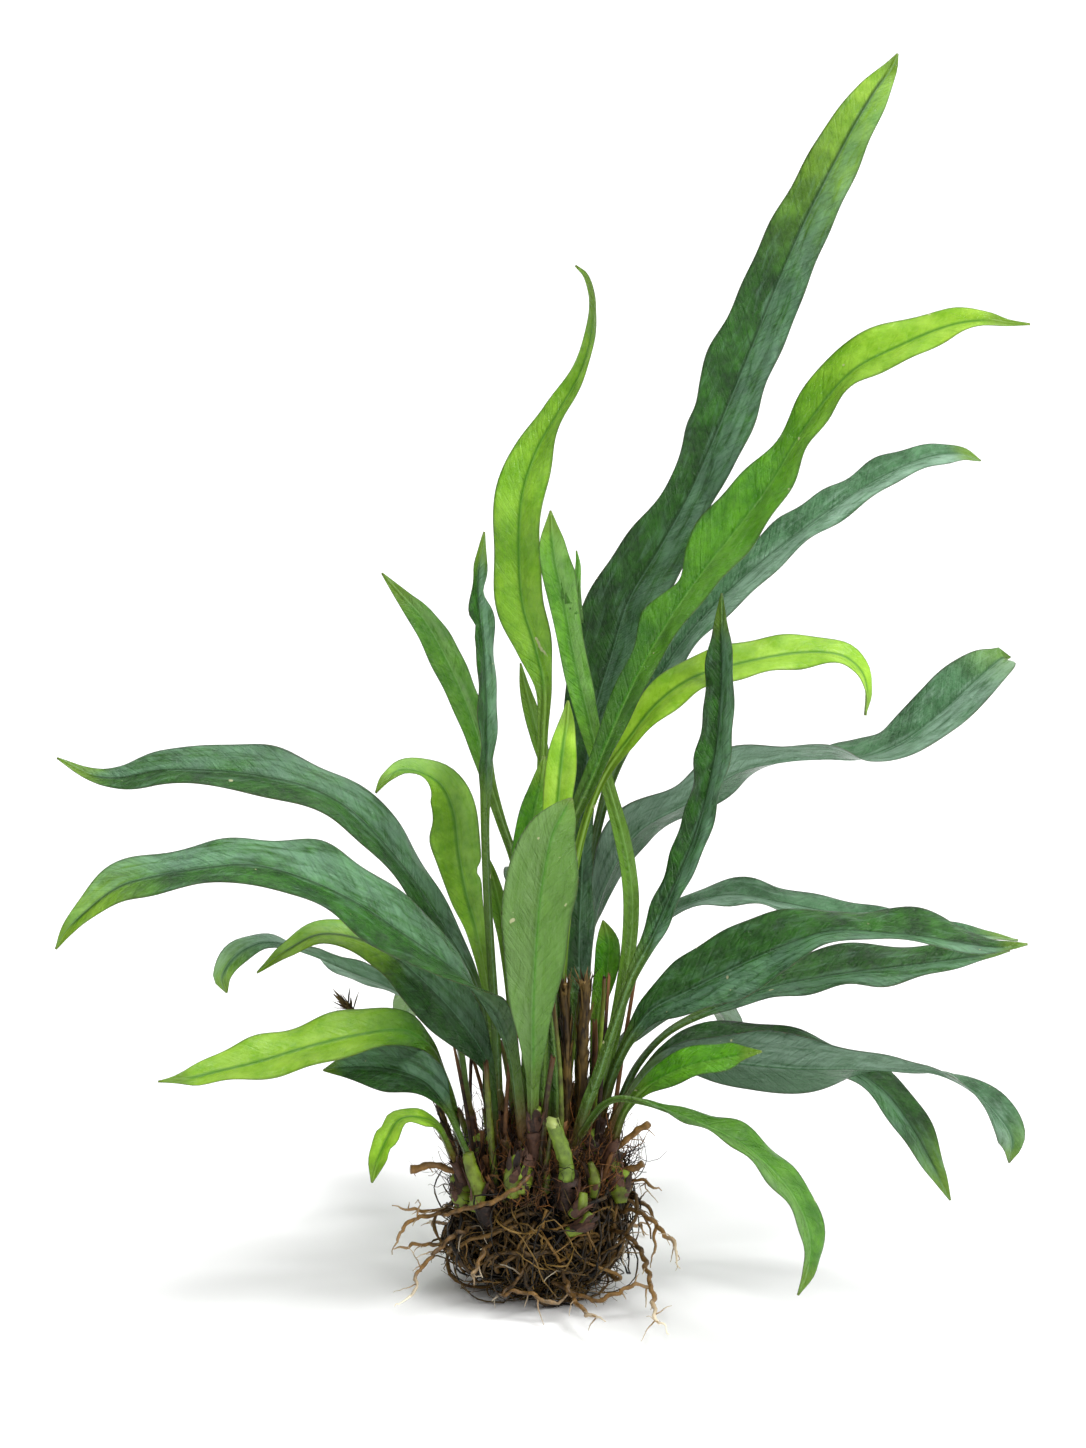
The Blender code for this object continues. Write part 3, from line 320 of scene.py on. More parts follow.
# Bites and swellings of a frond's outline: place along it, side (-1 left, 1 right), share of the
# half width that is gained or lost, and how far it reaches along the frond.
OUTLINES = {
    "frond_notched": ((0.85, -1, -0.75, 0.012), (0.90, 1, -0.35, 0.02), (0.79, -1, 0.12, 0.03)),
    "frond_tall": ((0.575, -1, -0.24, 0.045), (0.575, 1, -0.14, 0.04), (0.655, -1, -0.12, 0.015),
                   (0.70, -1, 0.22, 0.03), (0.44, -1, 0.14, 0.03), (0.64, 1, 0.12, 0.04),
                   (0.22, 1, -0.18, 0.02), (0.25, 1, -0.15, 0.008)),
    "frond_forked_tip": ((0.90, 1, 0.25, 0.03),),
    "frond_left_long": ((0.60, 1, 0.10, 0.04), (0.78, -1, 0.08, 0.03)),
    "frond_left_curled": ((0.62, -1, -0.30, 0.03), (0.72, 1, -0.25, 0.03), (0.82, -1, -0.35, 0.03)),
    "frond_folded_tip": ((0.62, 1, -0.25, 0.015), (0.70, -1, 0.15, 0.03)),
    "frond_lime_arch": ((0.50, -1, -0.15, 0.02), (0.535, -1, 0.38, 0.018), (0.578, -1, -0.32, 0.016),
                        (0.63, -1, 0.34, 0.03), (0.74, -1, -0.18, 0.03), (0.74, 1, -0.14, 0.04),
                        (0.66, 1, 0.10, 0.03), (0.81, -1, 0.10, 0.03)),
    "frond_right_broad": ((0.45, 1, 0.10, 0.04), (0.70, -1, -0.08, 0.03)),
    "frond_twisted": ((0.66, 1, 0.10, 0.03), (0.78, -1, -0.10, 0.02)),
}

# Dried and cut stalks, laid out as the fronds are: finish and slot, then across, up, back, radius.
STALKS = {
    "cut_stalk_lime": ("cut_stalk", ((9, 50, -31, 4.0), (7, 58, -33, 4.0), (4, 66, -35, 3.8))),
    "old_stalk_brown": ("dried_stalk", ((9.5, 80, -9, 2.2), (9.5, 98, -9, 2.3), (8.5, 121, -8, 2.0))),
    "old_stalk_tan": ("dried_stalk", ((15.5, 81, -6.5, 2.5), (16, 98, -9, 3.0), (17, 122, -10, 2.7))),
    "dried_stalk_left": ("dried_stalk", (
        (-38, 62, 16, 1.1), (-45, 80, 18, 0.9), (-58, 96, 17, 0.9), (-70, 105, 14, 0.8),
        (-79, 113.5, 12, 1.3))),
}

# Free roots from the ball outwards, laid out as the fronds are: across, up, back, radius.
ROOTS = {
    "root_left_hook": ((-40, 30, -14, 1.6), (-54, 26, -22, 1.5), (-58, 20, -28, 1.2), (-60, 14, -26, 0.8)),
    "root_left_upper": ((-38, 31, -8, 1.4), (-52, 31, -14, 1.2), (-60, 33, -16, 0.8)),
    "root_left_return": ((-40, 18, -8, 1.5), (-50, 17, -12, 1.4), (-60, 16, -18, 0.9)),
    "root_left_long": (
        (-34, 22, -28, 1.7), (-42, 15, -34, 1.6), (-50, 6, -40, 1.4), (-52, -2, -44, 1.2),
        (-60, -8, -46, 0.8)),
    "root_front_down": ((-24, 14, -33, 1.5), (-27, 7, -38, 1.5), (-28, 1, -40, 1.1)),
    "root_front_loop": (
        (-10, 4, -34, 1.3), (-16, -3, -36, 1.3), (-11, -1, -38, 1.4), (-4, -3, -39, 1.5), (4, -6, -40, 1.6),
        (11, -3, -37, 1.0)),
    "root_front_long": (
        (8, 6, -34, 1.6), (11, -2, -42, 1.8), (17, -10, -58, 1.5), (25, -13, -70, 1.0)),
    "root_front_right": (
        (10, 4, -30, 1.6), (20, -5, -36, 1.7), (28, -3, -38, 1.7), (36, 1, -36, 1.5), (44, -1, -34, 1.2),
        (46, -4, -33, 0.9)),
    "root_right_long": (
        (32, 22, -20, 1.8), (39, 15, -32, 1.9), (42, 6, -46, 1.8), (44, -4, -60, 1.7), (45, -12, -72, 1.4),
        (51, -18, -84, 0.9)),
    "root_right_upper": (
        (32, 37, -10, 1.6), (39, 30, -18, 1.7), (46, 24, -26, 1.7), (52, 18, -32, 1.6),
        (54.5, 8, -36, 0.9)),
    "root_right_fork": ((33, 41, 0, 1.5), (40, 34, -6, 1.5), (45, 24, -12, 1.3), (43, 8, -14, 0.8)),
    "root_right_short": ((36, 43, 4, 1.3), (42, 42, 2, 1.2), (48, 38, 0, 0.8)),
    "root_back_left": ((-26, 30, 28, 1.6), (-36, 26, 40, 1.5), (-44, 26, 56, 1.3), (-46, 26, 70, 0.8)),
    "root_back_right": ((24, 28, 30, 1.6), (33, 25, 44, 1.5), (36, 25, 60, 1.2), (44, 26, 72, 0.8)),
    "root_back_middle": ((-2, 26, 34, 1.5), (-4, 22, 46, 1.5), (2, 23, 58, 1.2), (-2, 25, 70, 0.8)),
}

# How whitish a free root's end is
PALE_TIPS = {
    "root_left_long": 1.0,
    "root_right_long": 1.0,
    "root_right_upper": 0.7,
    "root_front_long": 0.6,
    "root_back_left": 0.8,
}
PLAIN_PALE_TIP = 0.15

# Broken roots and the old strap across the front, laid out as the roots are.
BROKEN_ROOTS = (
    ((-40, 29, -30, 0.7), (-33.6, 31, -33, 0.9), (-20.4, 34.4, -38, 1.0), (-11.2, 39.6, -38, 0.9),
     (-5, 45, -34, 0.8)),
    ((26, 45, -12, 1.4), (33, 47, -15, 1.3), (40, 49.5, -17, 1.5)),
    ((24, 52, -10, 1.4), (33, 59, -12, 1.3), (42, 66, -14, 1.5)),
    ((-33, 46, -14, 1.5), (-44, 49, -17, 1.4), (-52.8, 47.2, -19, 1.9)),
)

# Green noses of the creeping stems that show at the front, laid out as the roots are.
NOSES = (
    ((-12, 37, -29, 3.2), (-12.5, 44, -31, 3.6), (-11.5, 50, -32, 2.6), (-11, 53, -32, 1.0)),
    ((-27, 32, -22, 3.4), (-26, 40, -25, 3.6), (-29, 49, -26, 3.0), (-30, 54, -26, 2.4)),
    ((20, 37, -25, 2.6), (20.5, 44, -28, 2.8), (19, 50, -29, 1.2)),
    ((10, 22, -34, 2.4), (15.5, 25, -35, 3.0), (19, 30, -33, 1.6)),
    ((12, 29, -33, 2.8), (15, 33, -34, 3.2), (16, 38, -32, 2.0)),
    ((-4, 60, -24, 2.4), (-3, 67, -26, 2.6), (-2.5, 72, -28, 2.0)),
)

# Rhizomes creep over the ball: compass direction (front is -90) and height angle of each end.
RHIZOMES = {
    "rhizome_front": ((-104, 34), (-110, 80)),
    "rhizome_left": ((-150, 18), (-168, 72)),
    "rhizome_right": ((-28, 20), (-16, 72)),
    "rhizome_back_left": ((138, 22), (118, 74)),
    "rhizome_back_right": ((52, 22), (66, 74)),
}

# Tangles of wiry roots: finish, slot, seed, count, sides, radius, lift over the ball and looseness.
TANGLES = {
    "root_tangle_thick": ("root_tangle", "root_mass", 3, 360, 6, (0.5, 1.05), (-8.0, 0.0), 13.0),
    "root_tangle_fine": ("fine_roots", "root", 4, 520, 4, (0.2, 0.5), (-6.0, 0.0), 17.0),
}

# Broken stalk feet: finish, slot, count and seed.
STUBS = {
    "green_stubs": ("green_stub", "rhizome", 34, 21),
    "dead_stubs": ("dead_stub", "dried_stalk", 70, 22),
}

# Each leaf finish from the photo: shaded green, open green, waxy light, which is bluish wax and painted
# sheen, and under side.
LEAF_GREENS = {
    "mature": ("#103c08", "#37761c", "#92c3a0", "#6f9460"),
    "mid": ("#418010", "#6bac2d", "#aed48c", "#7aa64c"),
    "lime": ("#3b8004", "#5fa812", "#aad06e", "#7fac3a"),
    "grey": ("#2b5c30", "#5a8e60", "#b8dcc4", "#6d9373"),
}
# Green of the painted shade on the fronds, and of the thin dark rim of each blade.
SHADE_AND_RIM_GREEN = "#10300b"
# How much of the bluish wax and painted sheen each finish gets.
WAX_AND_SHEEN_DEPTH = {"mature": 0.5, "mid": 0.32, "lime": 0.14, "grey": 0.55}
VEIN_DEPTH = {"mature": 0.5, "mid": 0.16, "lime": 0.08, "grey": 0.3}
YOUNG_GREENS = ("#7cb314", "#a6d23e")
STALK_GREEN = "#668a24"
SCORCHED = "#54481f"
DEAD_BROWN = "#5f4420"
SCAR_PALE = "#c9c79a"
LEAF_GLOW = 0.14  # share of the light that shines through a leaf

# Finishes of roots, stems and stalks: dark, light and tip colours, roughness and grain.
FIBRE_FINISHES = {
    "wiry_root": ("#1a1007", "#96703a", "#efe3c8", 0.45, 350.0),
    "fine_roots": ("#0d0804", "#80642f", "#b99a66", 0.5, 350.0),
    "root_tangle": ("#0a0603", "#7b5c2b", "#d9c49a", 0.5, 260.0),
    # The heart's near-black is the roots' dark mass and painted shade inside the ball.
    "root_heart_shade": ("#030202", "#120b06", "#120b06", 0.9, 400.0),
    "papery_scale": ("#160c08", "#5c3f30", "#5c3f30", 0.6, 600.0),
    "creeping_stem": ("#2c1b0b", "#7d962a", "#86a233", 0.42, 200.0),
    "green_stub": ("#2e1f0d", "#76902a", "#4a3018", 0.42, 260.0),
    "dead_stub": ("#1c0f08", "#6e4a26", "#6e4a26", 0.7, 300.0),
    "dried_stalk": ("#1d1108", "#6a5426", "#8f7340", 0.6, 120.0),
    "cut_stalk": ("#37481a", "#8aa63c", "#9aa860", 0.4, 220.0),
    "dead_fibre": ("#0d0603", "#8a5a2a", "#8a5a2a", 0.6, 300.0),
}

# The surroundings are brightest this way, above the right side, and fall off to the left. A white
# band stands at the horizon, behind the floor: where it ends above, and where it is full.
LIGHT_WAY = (0.38, 0.25, 0.89)
WALL_LIGHT = 0.08
CEILING_LIGHT = 1.3
HORIZON_BAND = (0.07, 0.045)
FLOOR_WHITE = "#f7f7f7"

# Each light: kind, place in metres, power and size.
LIGHTS = {
    "skylight": ("SUN", (0.55, -0.35, 1.9), 2.2, {"angle": math.radians(28)}),
    "right_window": ("AREA", (1.25, -1.35, 0.95), 16.0, {"size": 0.8}),
    "small_window": ("AREA", (-0.45, -1.0, 1.7), 3.5, {"size": 0.12}),
}

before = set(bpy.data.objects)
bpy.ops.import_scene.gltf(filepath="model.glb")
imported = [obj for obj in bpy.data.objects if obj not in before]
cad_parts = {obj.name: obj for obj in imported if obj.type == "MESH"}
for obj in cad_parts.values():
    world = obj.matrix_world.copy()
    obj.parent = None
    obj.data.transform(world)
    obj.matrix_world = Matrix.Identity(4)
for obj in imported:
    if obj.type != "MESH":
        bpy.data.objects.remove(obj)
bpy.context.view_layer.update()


def linear(code):
    """A linear colour from an sRGB hex code."""
    channels = [int(code[i:i + 2], 16) / 255 for i in (1, 3, 5)]
    return (*(c / 12.92 if c <= 0.04045 else ((c + 0.055) / 1.055) ** 2.4 for c in channels), 1.0)


def seen(rows):
    """Rows in true places from places across, up and back in the front view."""
    rows = np.array(rows, float)
    rise = rows[:, 1] - VIEW_MIDDLE_UP
    on_picture = np.stack((
        rows[:, 0],
        rise * math.sin(VIEW_TILT),
        VIEW_MIDDLE + rise * math.cos(VIEW_TILT),
    ), axis=1)
    reach = (rows[:, 2] - EYE[1]) / (on_picture[:, 1] - EYE[1])
    rows[:, :3] = EYE + (on_picture - EYE) * reach[:, None]
    return rows


def smooth_rows(rows, step):
    """Rows read at even steps along a smooth curve through the given rows."""
    rows = np.array(rows, float)
    lengths = np.maximum(np.linalg.norm(np.diff(rows[:, :3], axis=0), axis=1), 0.01)
    spots = np.concatenate(([0.0], np.cumsum(lengths)))
    last = len(rows) - 1
    low = np.maximum(np.arange(last + 1) - 1, 0)
    high = np.minimum(np.arange(last + 1) + 1, last)
    slopes = (rows[high] - rows[low]) / (spots[high] - spots[low])[:, None]
    places = np.linspace(0, spots[-1], max(FEWEST_ROWS, round(spots[-1] / step) + 1))
    part = np.clip(np.searchsorted(spots, places, side="right") - 1, 0, last - 1)
    length = lengths[part][:, None]
    t = np.clip((places - spots[part]) / lengths[part], 0, 1)[:, None]
    curve = (1 + 2 * t) * (1 - t) ** 2 * rows[part] + t * t * (3 - 2 * t) * rows[part + 1]
    return curve + length * (t * (1 - t) ** 2 * slopes[part] + t * t * (t - 1) * slopes[part + 1])


def unit(vectors):
    return vectors / np.maximum(np.linalg.norm(vectors, axis=-1, keepdims=True), 1e-9)


def course(spots):
    """The direction of a line of points at each of them."""
    return unit(np.gradient(spots, axis=0))


def square_to(way, axis):
    """A direction turned until it is at right angles to an axis."""
    return unit(way - axis * way.dot(axis))


def ease(values, low, high):
    """0 below low, 1 above high and a smooth step between them."""
    t = np.clip((values - low) / (high - low), 0, 1)
    return t * t * (3 - 2 * t)


def waves(places, lengths, rng):
    """A wandering line about 0, made of one wave of each given length."""
    total = np.zeros_like(places)
    for length in lengths:
        total += np.sin(math.tau * (places / (length * rng.uniform(0.8, 1.25)) + rng.random()))
    return total / len(lengths)


def bends(places, lengths, rng):
    """A line that wanders in all three directions."""
    return np.stack([waves(places, lengths, rng) for _ in range(3)], axis=1)


def ragged(rng, low, high, count):
    """Random steps for the points round a torn end."""
    return np.array([rng.uniform(low, high) for _ in range(count)])[:, None]


def painted(shade, share, tip=0.0):
    """Rows of paint: the shade of a strand, the share of its length, and how far it is tip."""
    return np.stack(np.broadcast_arrays(shade, share, tip), axis=1)


def random_way(rng):
    return unit(np.array([rng.gauss(0, 1) for _ in range(3)]))


def way_at(compass, height):
    """The direction from the ball's middle at a compass direction and a height, both in radians."""
    return np.array((
        math.cos(compass) * math.cos(height),
        math.sin(compass) * math.cos(height),
        math.sin(height),
    ))


def tree_of(nodes):
    """One searchable surface, in millimetres, of the frame's nodes."""
    points = []
    faces = []
    for name in nodes:
        start = len(points)
        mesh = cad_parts[name].data
        points += [vert.co / MM for vert in mesh.vertices]
        faces += [[i + start for i in face.vertices] for face in mesh.polygons]
    return BVHTree.FromPolygons(points, faces)


ball_tree = tree_of(["root_ball"])
crown_tree = tree_of(["root_ball", *RHIZOMES])


def surface_spot(way, lift):
    """A point over the root ball in a direction from its middle."""
    hit = ball_tree.ray_cast(Vector(BALL_MIDDLE + way * BALL_REACH), Vector(-way))[0]
    return np.array(hit) + way * lift


def rooted(rows, depth):
    """True rows with a first row that lies depth under the surface of the ball or a rhizome."""
    rows = seen(rows)
    while len(rows) > 2:
        near, normal, _, distance = crown_tree.find_nearest(Vector(rows[0, :3]))
        if (Vector(rows[0, :3]) - near).dot(normal) > 0 and distance > FOOT_CLEARANCE:
            break
        rows = rows[1:]
    first = rows[0, :3]
    onward = unit(rows[1, :3] - first)
    heart = BALL_MIDDLE + np.array((first[0] * 0.6, first[1] * 0.6, -6))
    way = unit(unit(heart - first) - onward)
    hit = crown_tree.ray_cast(Vector(first), Vector(way))[0]
    foot = np.array(hit) + way * depth if hit else heart
    return np.vstack(([*foot, *rows[0, 3:]], rows))


def grid_faces(rows, across, start, closed):
    """Faces between rows of points. Closed rows are rings, whose skin is closed at both ends too."""
    faces = []
    last = start + (rows - 1) * across
    for low in range(start, last, across):
        for i in range(across if closed else across - 1):
            j = (i + 1) % across
            faces.append((low + i, low + j, low + across + j, low + across + i))
    if closed:
        faces.append(tuple(range(start + across - 1, start - 1, -1)))
        faces.append(tuple(range(last, last + across)))
    return faces


def tube_points(spots, radii, sides):
    """Points of the rings of a tube."""
    along = course(spots)
    steadiest = np.eye(3)[np.argmin(np.abs(along).max(axis=0))]
    side = unit(np.cross(along, steadiest))
    other = np.cross(along, side)
    turn = np.arange(sides) * math.tau / sides
    ring = side[:, None] * np.cos(turn)[None, :, None] + other[:, None] * np.sin(turn)[None, :, None]
    return spots[:, None] + ring * radii[:, None, None]


class Skin:
    """Collects the points, faces and painted values of one piece."""

    def __init__(self):
        self.verts = []
        self.faces = []
        self.paint = {}
        self.count = 0

    def take(self, points, closed=True, **paint):
        """Adds rows of points. Each label of paint has three values for each row or each point."""
        rows, across = points.shape[:2]
        self.faces += grid_faces(rows, across, self.count, closed)
        self.verts.append(points.reshape(-1, 3))
        for label, values in paint.items():
            if values.ndim == 2:
                values = np.repeat(values, across, axis=0)
            self.paint.setdefault(label, []).append(values.reshape(-1, 3))
        self.count += rows * across

    def tube(self, spots, radii, sides, paint):
        """Adds a tube. paint has three values for each ring."""
        self.take(tube_points(spots, radii, sides), paint=paint)

    def add(self, name, finish, slot, replaced=None):
        """Makes the smooth piece. It goes with the plant and may stand for a frame node."""
        mesh = bpy.data.meshes.new(name)
        mesh.from_pydata((np.concatenate(self.verts) * MM).tolist(), [], self.faces)
        for label, values in self.paint.items():
            layer = mesh.attributes.new(label, "FLOAT_VECTOR", "POINT")
            layer.data.foreach_set("vector", np.concatenate(values).astype(np.float32).ravel())
        mesh.materials.append(finish)
        mesh.shade_smooth()
        piece = bpy.data.objects.new(name, mesh)
        bpy.context.scene.collection.objects.link(piece)
        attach(piece, "root")
        if replaced:
            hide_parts(replaced)


def edge_halves(name, half, share, length, blade, rib, rng):
    """The half width of a leaf on each side, with its waves, bites and swellings."""
    halves = {}
    for hand in (-1, 1):
        wander = 1 + blade * EDGE_WAVE * waves(length, (31, 55, 90), rng)
        for place, bitten, gain, reach in OUTLINES.get(name, ()):
            if bitten == hand:
                wander += gain * np.exp(-((share - place) / reach) ** 2)
        halves[hand] = np.maximum(half * wander, rib * 1.02)
    return halves


def leaf_columns(halves, half, length, blade, rib, rng):
    """The lines of points along a leaf from its left edge to its right one: how far out each lies,
    how high its upper and lower faces are, and its share of the way to the edge."""
    columns = []
    widest = half.max()
    swells = [(rng.uniform(8, 32), rng.uniform(7, 24) * hand, rng.random()) for hand in (-1, 1) * 4]
    for hand, shares in ((-1, LAMINA_SHARES), (1, LAMINA_SHARES[::-1])):
        ripple = waves(length, (2.9 * widest, 5.2 * widest), rng)
        sag = rng.uniform(0.06, 0.16)
        for part in shares:
            out = (halves[hand] - rib) * part
            quilt = sum(np.sin(math.tau * (length / a + out / b + c)) for a, b, c in swells) / len(swells)
            lift = out * FOLD * (1.2 - 0.3 * part) - sag * blade * part ** 2 * half
            lift += blade * RIPPLE * half * ripple * part ** 1.6
            lift += blade * QUILTING * quilt * math.sin(math.pi * part) ** 0.7
            thick = LEAF_THICKNESS / 2 * (1 - 0.55 * part ** 4)
            columns.append((hand * (rib + out), lift + thick, lift - thick, hand * part))
        if hand == -1:
            for part in RIB_SHARES:
                bulge = rib * math.sqrt(max(1 - part ** 2, 0))
                top = LEAF_THICKNESS / 2 + bulge * (0.95 - 0.72 * blade)
                low = -LEAF_THICKNESS / 2 - bulge * (0.95 - 0.25 * blade)
                columns.append((-part * rib, top, low, 0.0))
    return columns


def leaf_paint(name, columns, length, share, blade, rng):
    """What the leaf finish reads at each point: its place on the leaf, its form with its painted shade, and
    its tone.
    """
    around = columns + columns[::-1]
    grid = np.ones((len(length), len(around)))
    across_mm = np.stack([column[0] for column in around], axis=1)
    across = grid * [column[3] for column in around]
    under = grid * np.repeat((0.0, 1.0), len(columns))
    place = np.stack((length[:, None] * grid, across_mm, grid * rng.uniform(0, 500)), axis=2)
    strength, start = YOUNG_TIPS.get(name, PLAIN_TIP)
    young = strength * ease(share, start, min(start + 0.25, 1.0))
    # Painted shade: darker all over on some fronds and more at the foot, where the fronds shade each other,
    # less on young growth.
    all_over, at_foot, reach = FROND_PAINTED_SHADE.get(name, PLAIN_PAINTED_SHADE)
    deep = all_over + at_foot * (1 - ease(share, 0.15, reach)) * np.maximum(blade, 0.75)
    deep *= 1 - 0.8 * np.minimum(young, 1)
    dead = 0.35 * ease(share, 0.994, 1.0) + (1 - blade) * ease(-length, -34, -7)
    form = np.stack((deep[:, None] * grid, across, under), axis=2)
    tone = np.stack([values[:, None] * grid for values in (young, dead, blade)], axis=2)
    return {"leaf_place": place, "leaf_form": form, "leaf_tone": tone}


def add_leaf(skin, rows, watcher, name, rng, stalked=True):
    """One leaf, from its true rows. Its upper face is turned from where the watcher stands."""
    rows = smooth_rows(rows, LEAF_STEP)
    spots = rows[:, :3]
    length = np.concatenate(([0.0], np.cumsum(np.linalg.norm(np.diff(spots, axis=0), axis=1))))
    share = length / length[-1]
    along = course(spots)
    to_watcher = watcher - spots
    face = unit(to_watcher - along * (to_watcher * along).sum(axis=1, keepdims=True))
    turn = np.radians(rows[:, 4])[:, None]
    face = face * np.cos(turn) + np.cross(along, face) * np.sin(turn)
    side = np.cross(along, face)

    half = np.maximum(rows[:, 3], 0.3)
    blade = ease(half, *BLADE_HALVES) if stalked else np.ones(len(rows))
    rib = np.minimum(RIB_AT_BASE + (RIB_AT_TIP - RIB_AT_BASE) * share ** 0.7, 0.96 * half)
    halves = edge_halves(name, half, share, length, blade, rib, rng)
    columns = leaf_columns(halves, half, length, blade, rib, rng)
    upper = [spots + side * out[:, None] + face * top[:, None] for out, top, _, _ in columns]
    lower = [spots + side * out[:, None] + face * low[:, None] for out, _, low, _ in columns[::-1]]
    paint = leaf_paint(name, columns, length, share, blade, rng)
    skin.take(np.stack(upper + lower, axis=1), **paint)


def add_frond(name, kind, rows, finish):
    """A frond with its stalk, and the points of its end where that is torn."""
    rng = random.Random(name)
    watcher = SKY if name in BACK_FRONDS else EYE
    skin = Skin()
    add_leaf(skin, rooted(rows, FROND_DEPTH), watcher, name, rng)
    for points in TORN_POINTS.get(name, ()):
        add_leaf(skin, seen(points), watcher, "", rng, stalked=False)
    skin.add(name + "_leaf", finish, "leaf_" + kind, name)


def kinked(rng, heading, lean):
    """The next heading of a wiry root: it bends a little, and now and then it kinks. lean tips it
    upwards, or downwards below 0."""
    turn = 1.1 if rng.random() < 0.14 else 0.3
    return unit(heading + random_way(rng) * turn + np.array((0, 0, lean)))


def wiry_path(rng, foot, heading, steps, step, lean):
    """A kinked path of even steps from foot, which stays above the surface it rests on."""
    spots = [foot]
    for _ in range(steps):
        heading = kinked(rng, heading, lean)
        spots.append(spots[-1] + heading * step)
        spots[-1][2] = max(spots[-1][2], 0.7)
    return np.array(spots)


def creeping_path(rng, steps, step, lift, loose):
    """A root that wanders over the ball and bows out from it, or ends away from it, by loose."""
    way = random_way(rng)
    heading = random_way(rng)
    deep = rng.uniform(*lift)
    ends_free = rng.random() < 0.45
    spots = []
    for share in np.linspace(0, 1, steps):
        heading = square_to(kinked(rng, heading, -0.12), way)
        way = unit(way + heading * step / BALL_RADIUS)
        bow = ease(share, 0.4, 1.1) if ends_free else math.sin(math.pi * share) ** 1.4
        tucked = 7 * ease(-way[2], 0.1, 0.8)
        spot = surface_spot(way, deep + loose * bow - tucked)
        spot += random_way(rng) * 0.3
        spot[2] = max(spot[2], 0.9)
        spots.append(spot)
    return np.array(spots)


def twig(rng, foot, away, steps, size, skin, shade, tip=0.0):
    """A thin kinked side root that leaves another at foot."""
    spots = wiry_path(rng, foot, unit(away + random_way(rng) * 0.7), steps, TWIG_STEP, -0.1)
    share = np.linspace(0, 1, steps + 1)
    skin.tube(spots, size * (1 - 0.65 * share), 5, painted(shade, share, tip * share))


def add_tangle(name, finish, slot, seed, count, sides, radius, lift, loose):
    """A piece of many wiry roots that wander over the ball, with their side roots."""
    rng = random.Random(seed)
    skin = Skin()
    for _ in range(count):
        steps = rng.randint(10, 24)
        spots = creeping_path(rng, steps, rng.uniform(2.0, 3.2), lift, loose * rng.random() ** 2)
        size = rng.uniform(*radius)
        share = np.linspace(0, 1, steps)
        knobs = 1 + 0.28 * waves(np.arange(steps) * 1.0, (2.3, 4.1), rng)
        shade = rng.random() ** TANGLE_DARKNESS
        skin.tube(spots, size * (1 - 0.6 * share ** 2) * knobs, sides, painted(shade, share))
        for _ in range(rng.randint(0, 2)):
            start = rng.randrange(steps // 3, steps)
            away = unit(spots[start] - BALL_MIDDLE)
            twig(rng, spots[start], away, rng.randint(3, 7), size * 0.5, skin, shade)
    skin.add(name, finish, slot)


def add_root(name, rows, finish):
    """A free root with its kinks, knobs, side roots and, on the longest, a whitish growing tip."""
    rng = random.Random(name)
    rows = smooth_rows(rooted(rows, ROOT_DEPTH), ROOT_STEP)
    count = len(rows)
    places = np.arange(count) * ROOT_STEP
    share = places / places[-1]
    wander = bends(places, (7, 13), rng) * 0.8 * ease(places, 4, 12)[:, None]
    kinks = np.array([random_way(rng) for _ in rows]) * 0.16
    spots = rows[:, :3] + wander + kinks
    spots[:, 2] = np.maximum(spots[:, 2], 1.1)
    radii = np.maximum(rows[:, 3], 0.5) * ROOT_SLIMMING * (1 + 0.22 * waves(places, (2.4, 4.1, 7), rng))
    radii *= 1 - 0.55 * ease(share, 0.80, 1.0)
    pale = ease(share, 0.66, 0.95) * PALE_TIPS.get(name, PLAIN_PALE_TIP)
    tones = rng.uniform(0.35, 0.75) * (0.35 + 0.9 * ease(share, 0.15, 0.75))
    skin = Skin()
    skin.tube(spots, radii, 9, painted(tones, share, pale))
    for _ in range(max(3, count // 9)):
        start = rng.randint(count // 6, count - 5)
        away = unit(random_way(rng) + unit(spots[start] - BALL_MIDDLE) * 0.4)
        twig(rng, spots[start], away, rng.randint(3, 11), rng.uniform(0.28, 0.5), skin, tones[start], 0.5)
    for points in skin.verts:
        np.maximum(points[:, 2], 0.3, out=points[:, 2])
    skin.add(name + "_wire", finish, "root", name)


def add_scale(skin, foot, out, onward, length, width, rng):
    """A papery scale that lies against a stem: out is away from the stem, onward along it."""
    side = np.cross(onward, out)
    points = []
    shade = rng.random()
    share = np.linspace(0, 1, 5)
    for t in share:
        spread = width * math.sin(math.pi * (0.18 + 0.8 * t)) * (1 - 0.25 * t)
        lift = 0.25 + 1.1 * t * t * rng.uniform(0.5, 1.4)
        spot = foot + onward * length * t + out * lift
        points.append([spot - side * spread, spot + out * 0.3 * spread, spot + side * spread])
    skin.take(np.array(points), closed=False, paint=painted(shade, share))


def clothe(skin, spots, radii, reach, count, loose, length, width, rng, hidden=-1.1):
    """Papery scales on the first points of a stem, up to reach. Those whose way out from the stem
    points further into the ball than hidden are left out."""
    along = course(spots)
    for _ in range(count):
        i = rng.randrange(reach)
        out = square_to(random_way(rng), along[i])
        if out.dot(unit(spots[i] - BALL_MIDDLE)) < hidden:
            continue
        onward = square_to(unit(along[i] + random_way(rng) * loose), out)
        foot = spots[i] + out * radii[i]
        add_scale(skin, foot, out, onward, rng.uniform(*length), rng.uniform(*width), rng)


